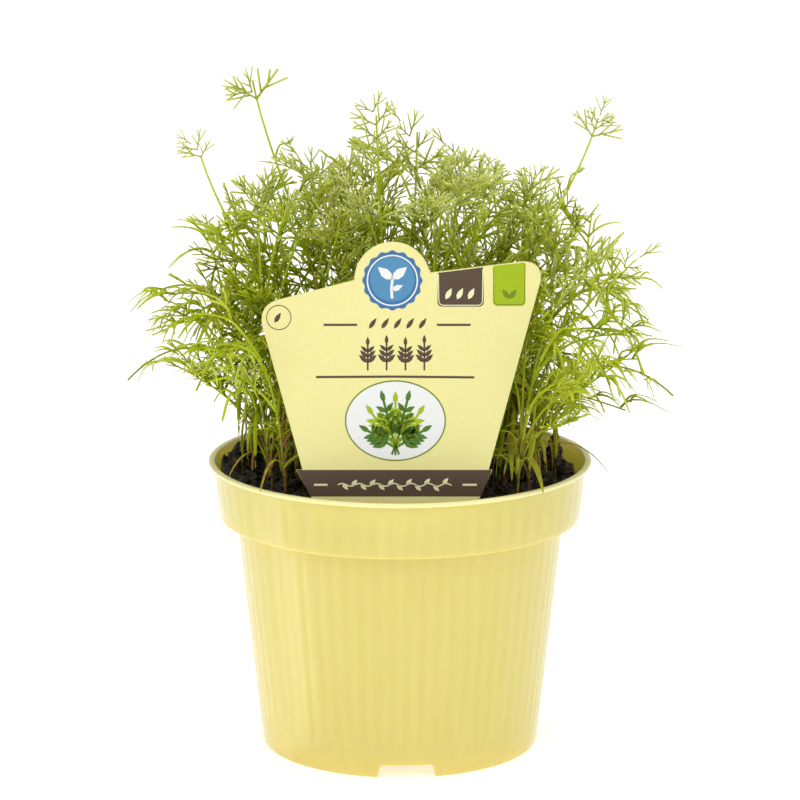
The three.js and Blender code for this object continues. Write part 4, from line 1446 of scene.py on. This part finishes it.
def grow_leaf(
    plant, root, azimuth, reach, lift, arch, blade, sprig, pairs, low, key, tint, age, ceiling=None
):
    """Grows a leaf on a stalk that leaves its shoot steeply and bends over into its blade."""
    away = heading(azimuth)
    for shrink in (1, 0.86, 0.74, 0.62, 0.5):
        base = root + away * reach * shrink + UP * lift * shrink
        middle = root + away * reach * shrink * 0.32 + UP * (lift * shrink * 0.55 + arch)
        stalk = Route(root, middle, base)
        along = stalk.along(1)
        sway = heading(azimuth + stray(key, 61, 2.2), -0.35 if low else 0.25 + draw(key, 62))
        end = base + unit(along + sway * (0.75 if low else 0.8)) * blade
        inside = within(end, BLADE_HALF) and behind_label(end) and above_the_rim(end)
        if inside and end[2] < (ceiling or top_of_bunch(end) - 3):
            break
    else:
        return
    turned = azimuth + math.pi + stray(key, 63, 0.5 if low else 1.6)
    face = heading(turned, 1.05 if low else 0.5 + 0.5 * draw(key, 64))
    bent = Route(base, base + along * blade * 0.45, end)
    feather(plant, stalk, bent, face, pairs, sprig, low, key, tint, age, ceiling)


STRAP_BREADTHS = [0.4, 0.65, 0.9, 1.05, 1.12, 1.12, 1.05, 0.95, 0.75, 0.5, 0.15]


def strap_places(route):
    last = len(STRAP_BREADTHS) - 1
    return [route.point(k / last) for k in range(last + 1)]


def lay_strap(skeleton, places, width, tint, young, old):
    """A flat narrow leaf along its places, whose browning goes from young to old along it."""
    ages = np.linspace(young, old, len(places))
    skeleton.line(STRAP, places, [breadth * width for breadth in STRAP_BREADTHS], tint, ages)


def hanging_strap(skeleton, root, azimuth, length, width, tint, age):
    """A first leaf: a strap that rises, bends over and hangs."""
    away = heading(azimuth)
    for shrink in (1, 0.8, 0.6, 0.45):
        reach = length * shrink
        end = root + away * reach * 0.42 - UP * reach * 0.8
        end[2] = max(end[2], SOIL_LEVEL + 6.5)
        over = root + away * reach * 0.2 + UP * reach * 0.3
        places = strap_places(Route(root, over, over + away * reach * 0.25, end))
        clear = all(behind_label(p + UP) and clear_of_pot(p) for p in places[1:])
        if clear and math.hypot(end[0], end[1]) < 58:
            lay_strap(skeleton, places, width, tint, 0.4 * age, age)
            return


# The straps that the solids have too: plant, height, azimuth in degrees, length and half width
STRAPS = [
    (1, 106, 200, 27, 0.5), (13, 104, 235, 24, 0.45), (14, 108, 165, 26, 0.5),
    (20, 105, 250, 22, 0.5), (10, 110, -50, 27, 1), (12, 107, -20, 28, 0.5),
    (12, 112, -100, 20, 1), (21, 106, -70, 22, 1), (11, 109, 25, 25, 0.6),
]


def arching_strap(skeleton, shoot, height, azimuth, length, width, tint, age):
    """A strap from where its shoot reaches a height, swung aside as far as it must be."""
    root = next(shoot.point(k / 100) for k in range(101) if shoot.point(k / 100)[2] >= height)
    for swing in (0, 12, -12, 24, -24, 40, -40, 60):
        away = heading(math.radians(azimuth + swing))
        end = root + away * length * 0.95
        end[2] = max(root[2] - length * 0.35, 101 if math.hypot(end[0], end[1]) > 55 else 98)
        places = strap_places(Route(root, root + away * length * 0.55 + UP * 9, end))
        if free(places[1:]):
            lay_strap(skeleton, places, width, tint, 0, age)
            return


# The four shoots whose crowns show over the bunch: length of the crown's feather, how far below
# the tip it starts, its pairs of sprigs, the length of these, and how far it bends aside
TALL = {
    0: (6, 10.5, 2, 11.5, 1.2),
    1: (6, 4.5, 2, 8.5, 0.5),
    4: (15.5, 12, 3, 10.5, 0.2),
    8: (8, 10.5, 3, 9.5, 0.0),
}
LEAFY = (1, 2, 13, 14)
STRAPPY = (10, 12, 13)
GOLDEN_ANGLE = 2.39996
STALK_TIP_RADIUS = 0.34
BUD_CEILING = 235
for index, (foot, crown, _) in enumerate(PLANTS):
    shoot, crown_blade, spread = shoots[index]
    plant = Skeleton()
    low = crown[2] < LOW_CROWN
    tall = index in TALL
    outer = math.hypot(*foot) > 30
    front = foot[1] < -20
    tint = (0.48 if front else 0.52) + stray(index, 5, 0.22)
    key = index * 101

    # The shoot's stalk, reddish near the soil
    count = round(shoot.length / SPINE_STEP)
    shares = [k / count for k in range(count + 1)]
    blade_end = 1 if low else 1 - (4 if tall else 6) / shoot.length
    places = [np.array((*foot, ROOT_DEPTH_LEVEL + 4))] + [shoot.point(s * blade_end) for s in shares]
    stout = 0.42 if front else (0.52 if low else 0.66)
    widths = [stout] + [stout + (STALK_TIP_RADIUS - stout) * s ** 0.7 for s in shares]
    redness = 0.3 + 0.7 * draw(index, 8)
    fade_share = 0.2 + 0.35 * draw(index, 9)
    ages = [redness] + [max(0, redness * (1 - s / fade_share)) for s in shares]
    plant.line(STALK, places, widths, tint - (0.2 if front else 0.1), ages)

    # The crown of the shoot: a feather at its top, turned to the front and bent to one side
    usual = (0.85 * crown_blade, 0.85 * crown_blade, 3, 11 if low else 11.5, 0.45)
    blade, below, pairs, sprig, bend = TALL.get(index, usual)
    tail = 1 - below / shoot.length
    base = shoot.point(tail)
    along = shoot.along(tail)
    if low:
        up = heading(spread + math.pi + stray(index, 3, 0.5), 1.2)
        crown_route = Route(base, shoot.point((1 + tail) / 2), shoot.point(1))
    else:
        up = heading(-math.pi / 2 + (0 if tall else stray(index, 3, 1.4)), 0.3)
        aside = heading(math.pi * (1 if tall else index % 2) + stray(index, 6, 1), 0.1) * bend
        crown_route = Route(base, base + along * blade * 0.5, base + unit(along + aside) * blade)
    feather(plant, None, crown_route, up, pairs, sprig, low, key, tint + 0.06, 0.0, crown[2] + 6)

    # The leaves that the solids have too
    for route, azimuth, k in main_leaves[index]:
        bare = 1 - LEAVES[k]["blade"] / route.length
        stalk = Route(*[route.point(bare * share / 4) for share in range(5)])
        blade = Route(route.point(bare), route.point((1 + bare) / 2), route.point(1))
        hanging = k == 0 or low
        face = heading(azimuth + math.pi, 1.1)
        pairs, sprig = (2, 14) if hanging else (3, 11.5)
        feather(plant, stalk, blade, face, pairs, sprig, hanging, key + k * 7 + 1, tint)

    # Leaves on long stalks from the foot of the shoot, which stand up through the bunch
    for j in range(7 if outer else 3):
        azimuth = spread + stray(index, j + 70, 2.4) + 0.8 * (j - 2)
        root = shoot.point(0.01 + 0.03 * j)
        rise = (crown[2] - SHOOT_START) * (0.35 + 0.45 * draw(index, j + 75)) * (0.8 if tall else 1)
        reach = 6 + 24 * draw(index, j + 80)
        grow_leaf(
            plant, root, azimuth, reach, rise, arch=4, blade=15 + 5 * draw(index, j + 85),
            sprig=11.5, pairs=3, low=False, key=key + 11 * j + 500,
            tint=tint + stray(index, j + 88, 0.3), age=redness,
        )

    # Side leaves up the shoot, steeper and shorter towards its top
    if tall and index not in LEAFY:
        extras = 6
    else:
        extras = 15 if index in LEAFY else (12 if outer else 8)
    for j in range(extras):
        share = 0.08 + (0.5 if tall else 0.8) * (j + 0.6 * draw(index, j + 110)) / extras
        azimuth = spread + GOLDEN_ANGLE * (j + 1) + stray(index, j + 130, 0.6)
        hanging = share < 0.3 or (low and share < 0.75)
        reach = (22 if hanging else 7) + (14 if hanging else 9) * draw(index, j + 150)
        lift = (4 if hanging else 15) + 14 * draw(index, j + 170)
        grow_leaf(
            plant, shoot.point(share), azimuth, reach, lift, arch=6 if hanging else 0,
            blade=(20 if hanging else 13) + 5 * draw(index, j + 175), sprig=13 if hanging else 11,
            pairs=2 if hanging else 3, low=hanging, key=key + j * 3 + 200,
            tint=tint + stray(index, j + 190, 0.3) - (0.12 if share < 0.3 else 0),
            age=0.6 if share < 0.2 and draw(index, j + 210) > 0.7 else 0,
        )

    # Short leaves close over the soil
    for j in range(8 if outer else 2):
        azimuth = spread + 0.85 * (j - 3) + stray(index, j + 310, 0.6)
        root = shoot.point(0.05 + 0.04 * j)
        reach = 6 + 10 * draw(index, j + 320)
        grow_leaf(
            plant, root, azimuth, reach, 3 + 9 * draw(index, j + 330), arch=3, blade=10, sprig=11,
            pairs=2, low=j % 2 == 0, key=key + 5 * j + 700, tint=tint - 0.06,
            age=0.8 * draw(index, j + 340),
        )

    # A young leaf, still folded, beside the stalk
    if tall or index % 3 == 0:
        grow_leaf(
            plant, shoot.point(0.77 if tall else 0.72), 0.3 * (index % 3), 3, 5.5, arch=3, blade=3,
            sprig=3.4, pairs=4, low=False, key=key + 77, tint=tint - 0.1, age=0.35, ceiling=BUD_CEILING,
        )

    # Straps low down, which arch over and hang, some of them turning brown
    for owner, height, azimuth, length, width in STRAPS:
        if owner == index:
            arching_strap(plant, shoot, height, azimuth, length, width, tint - 0.12, 1.3 - width)
    for j in range(24 if front or index in STRAPPY else (12 if outer else 4)):
        azimuth = spread + GOLDEN_ANGLE * j + draw(index, j + 250)
        root = shoot.point(0.05 + (0.45 if low else 0.2) * draw(index, j + 260))
        length = 15 + 14 * draw(index, j + 270)
        browning = max(0, 2.2 * draw(index, j + 280) - 1)
        width = (0.5 + 0.4 * draw(index, j + 300)) * (1 - 0.5 * min(1, browning))
        hanging_strap(plant, root, azimuth, length, width, tint - 0.12, browning)

    name = f"leafy_dill_{index + 1:02d}"
    piece = placed(name, plant.mesh(name))
    growth.put_on(piece, Sprigs=sprig_tray, Stalk_Sides=6, Strap_Thickness=0.22, Finish=dill_paint.material)
    settle(piece)
    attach(piece, "root")
    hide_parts(f"dill_plant_{index + 1:02d}")
discard(sprig_tray)
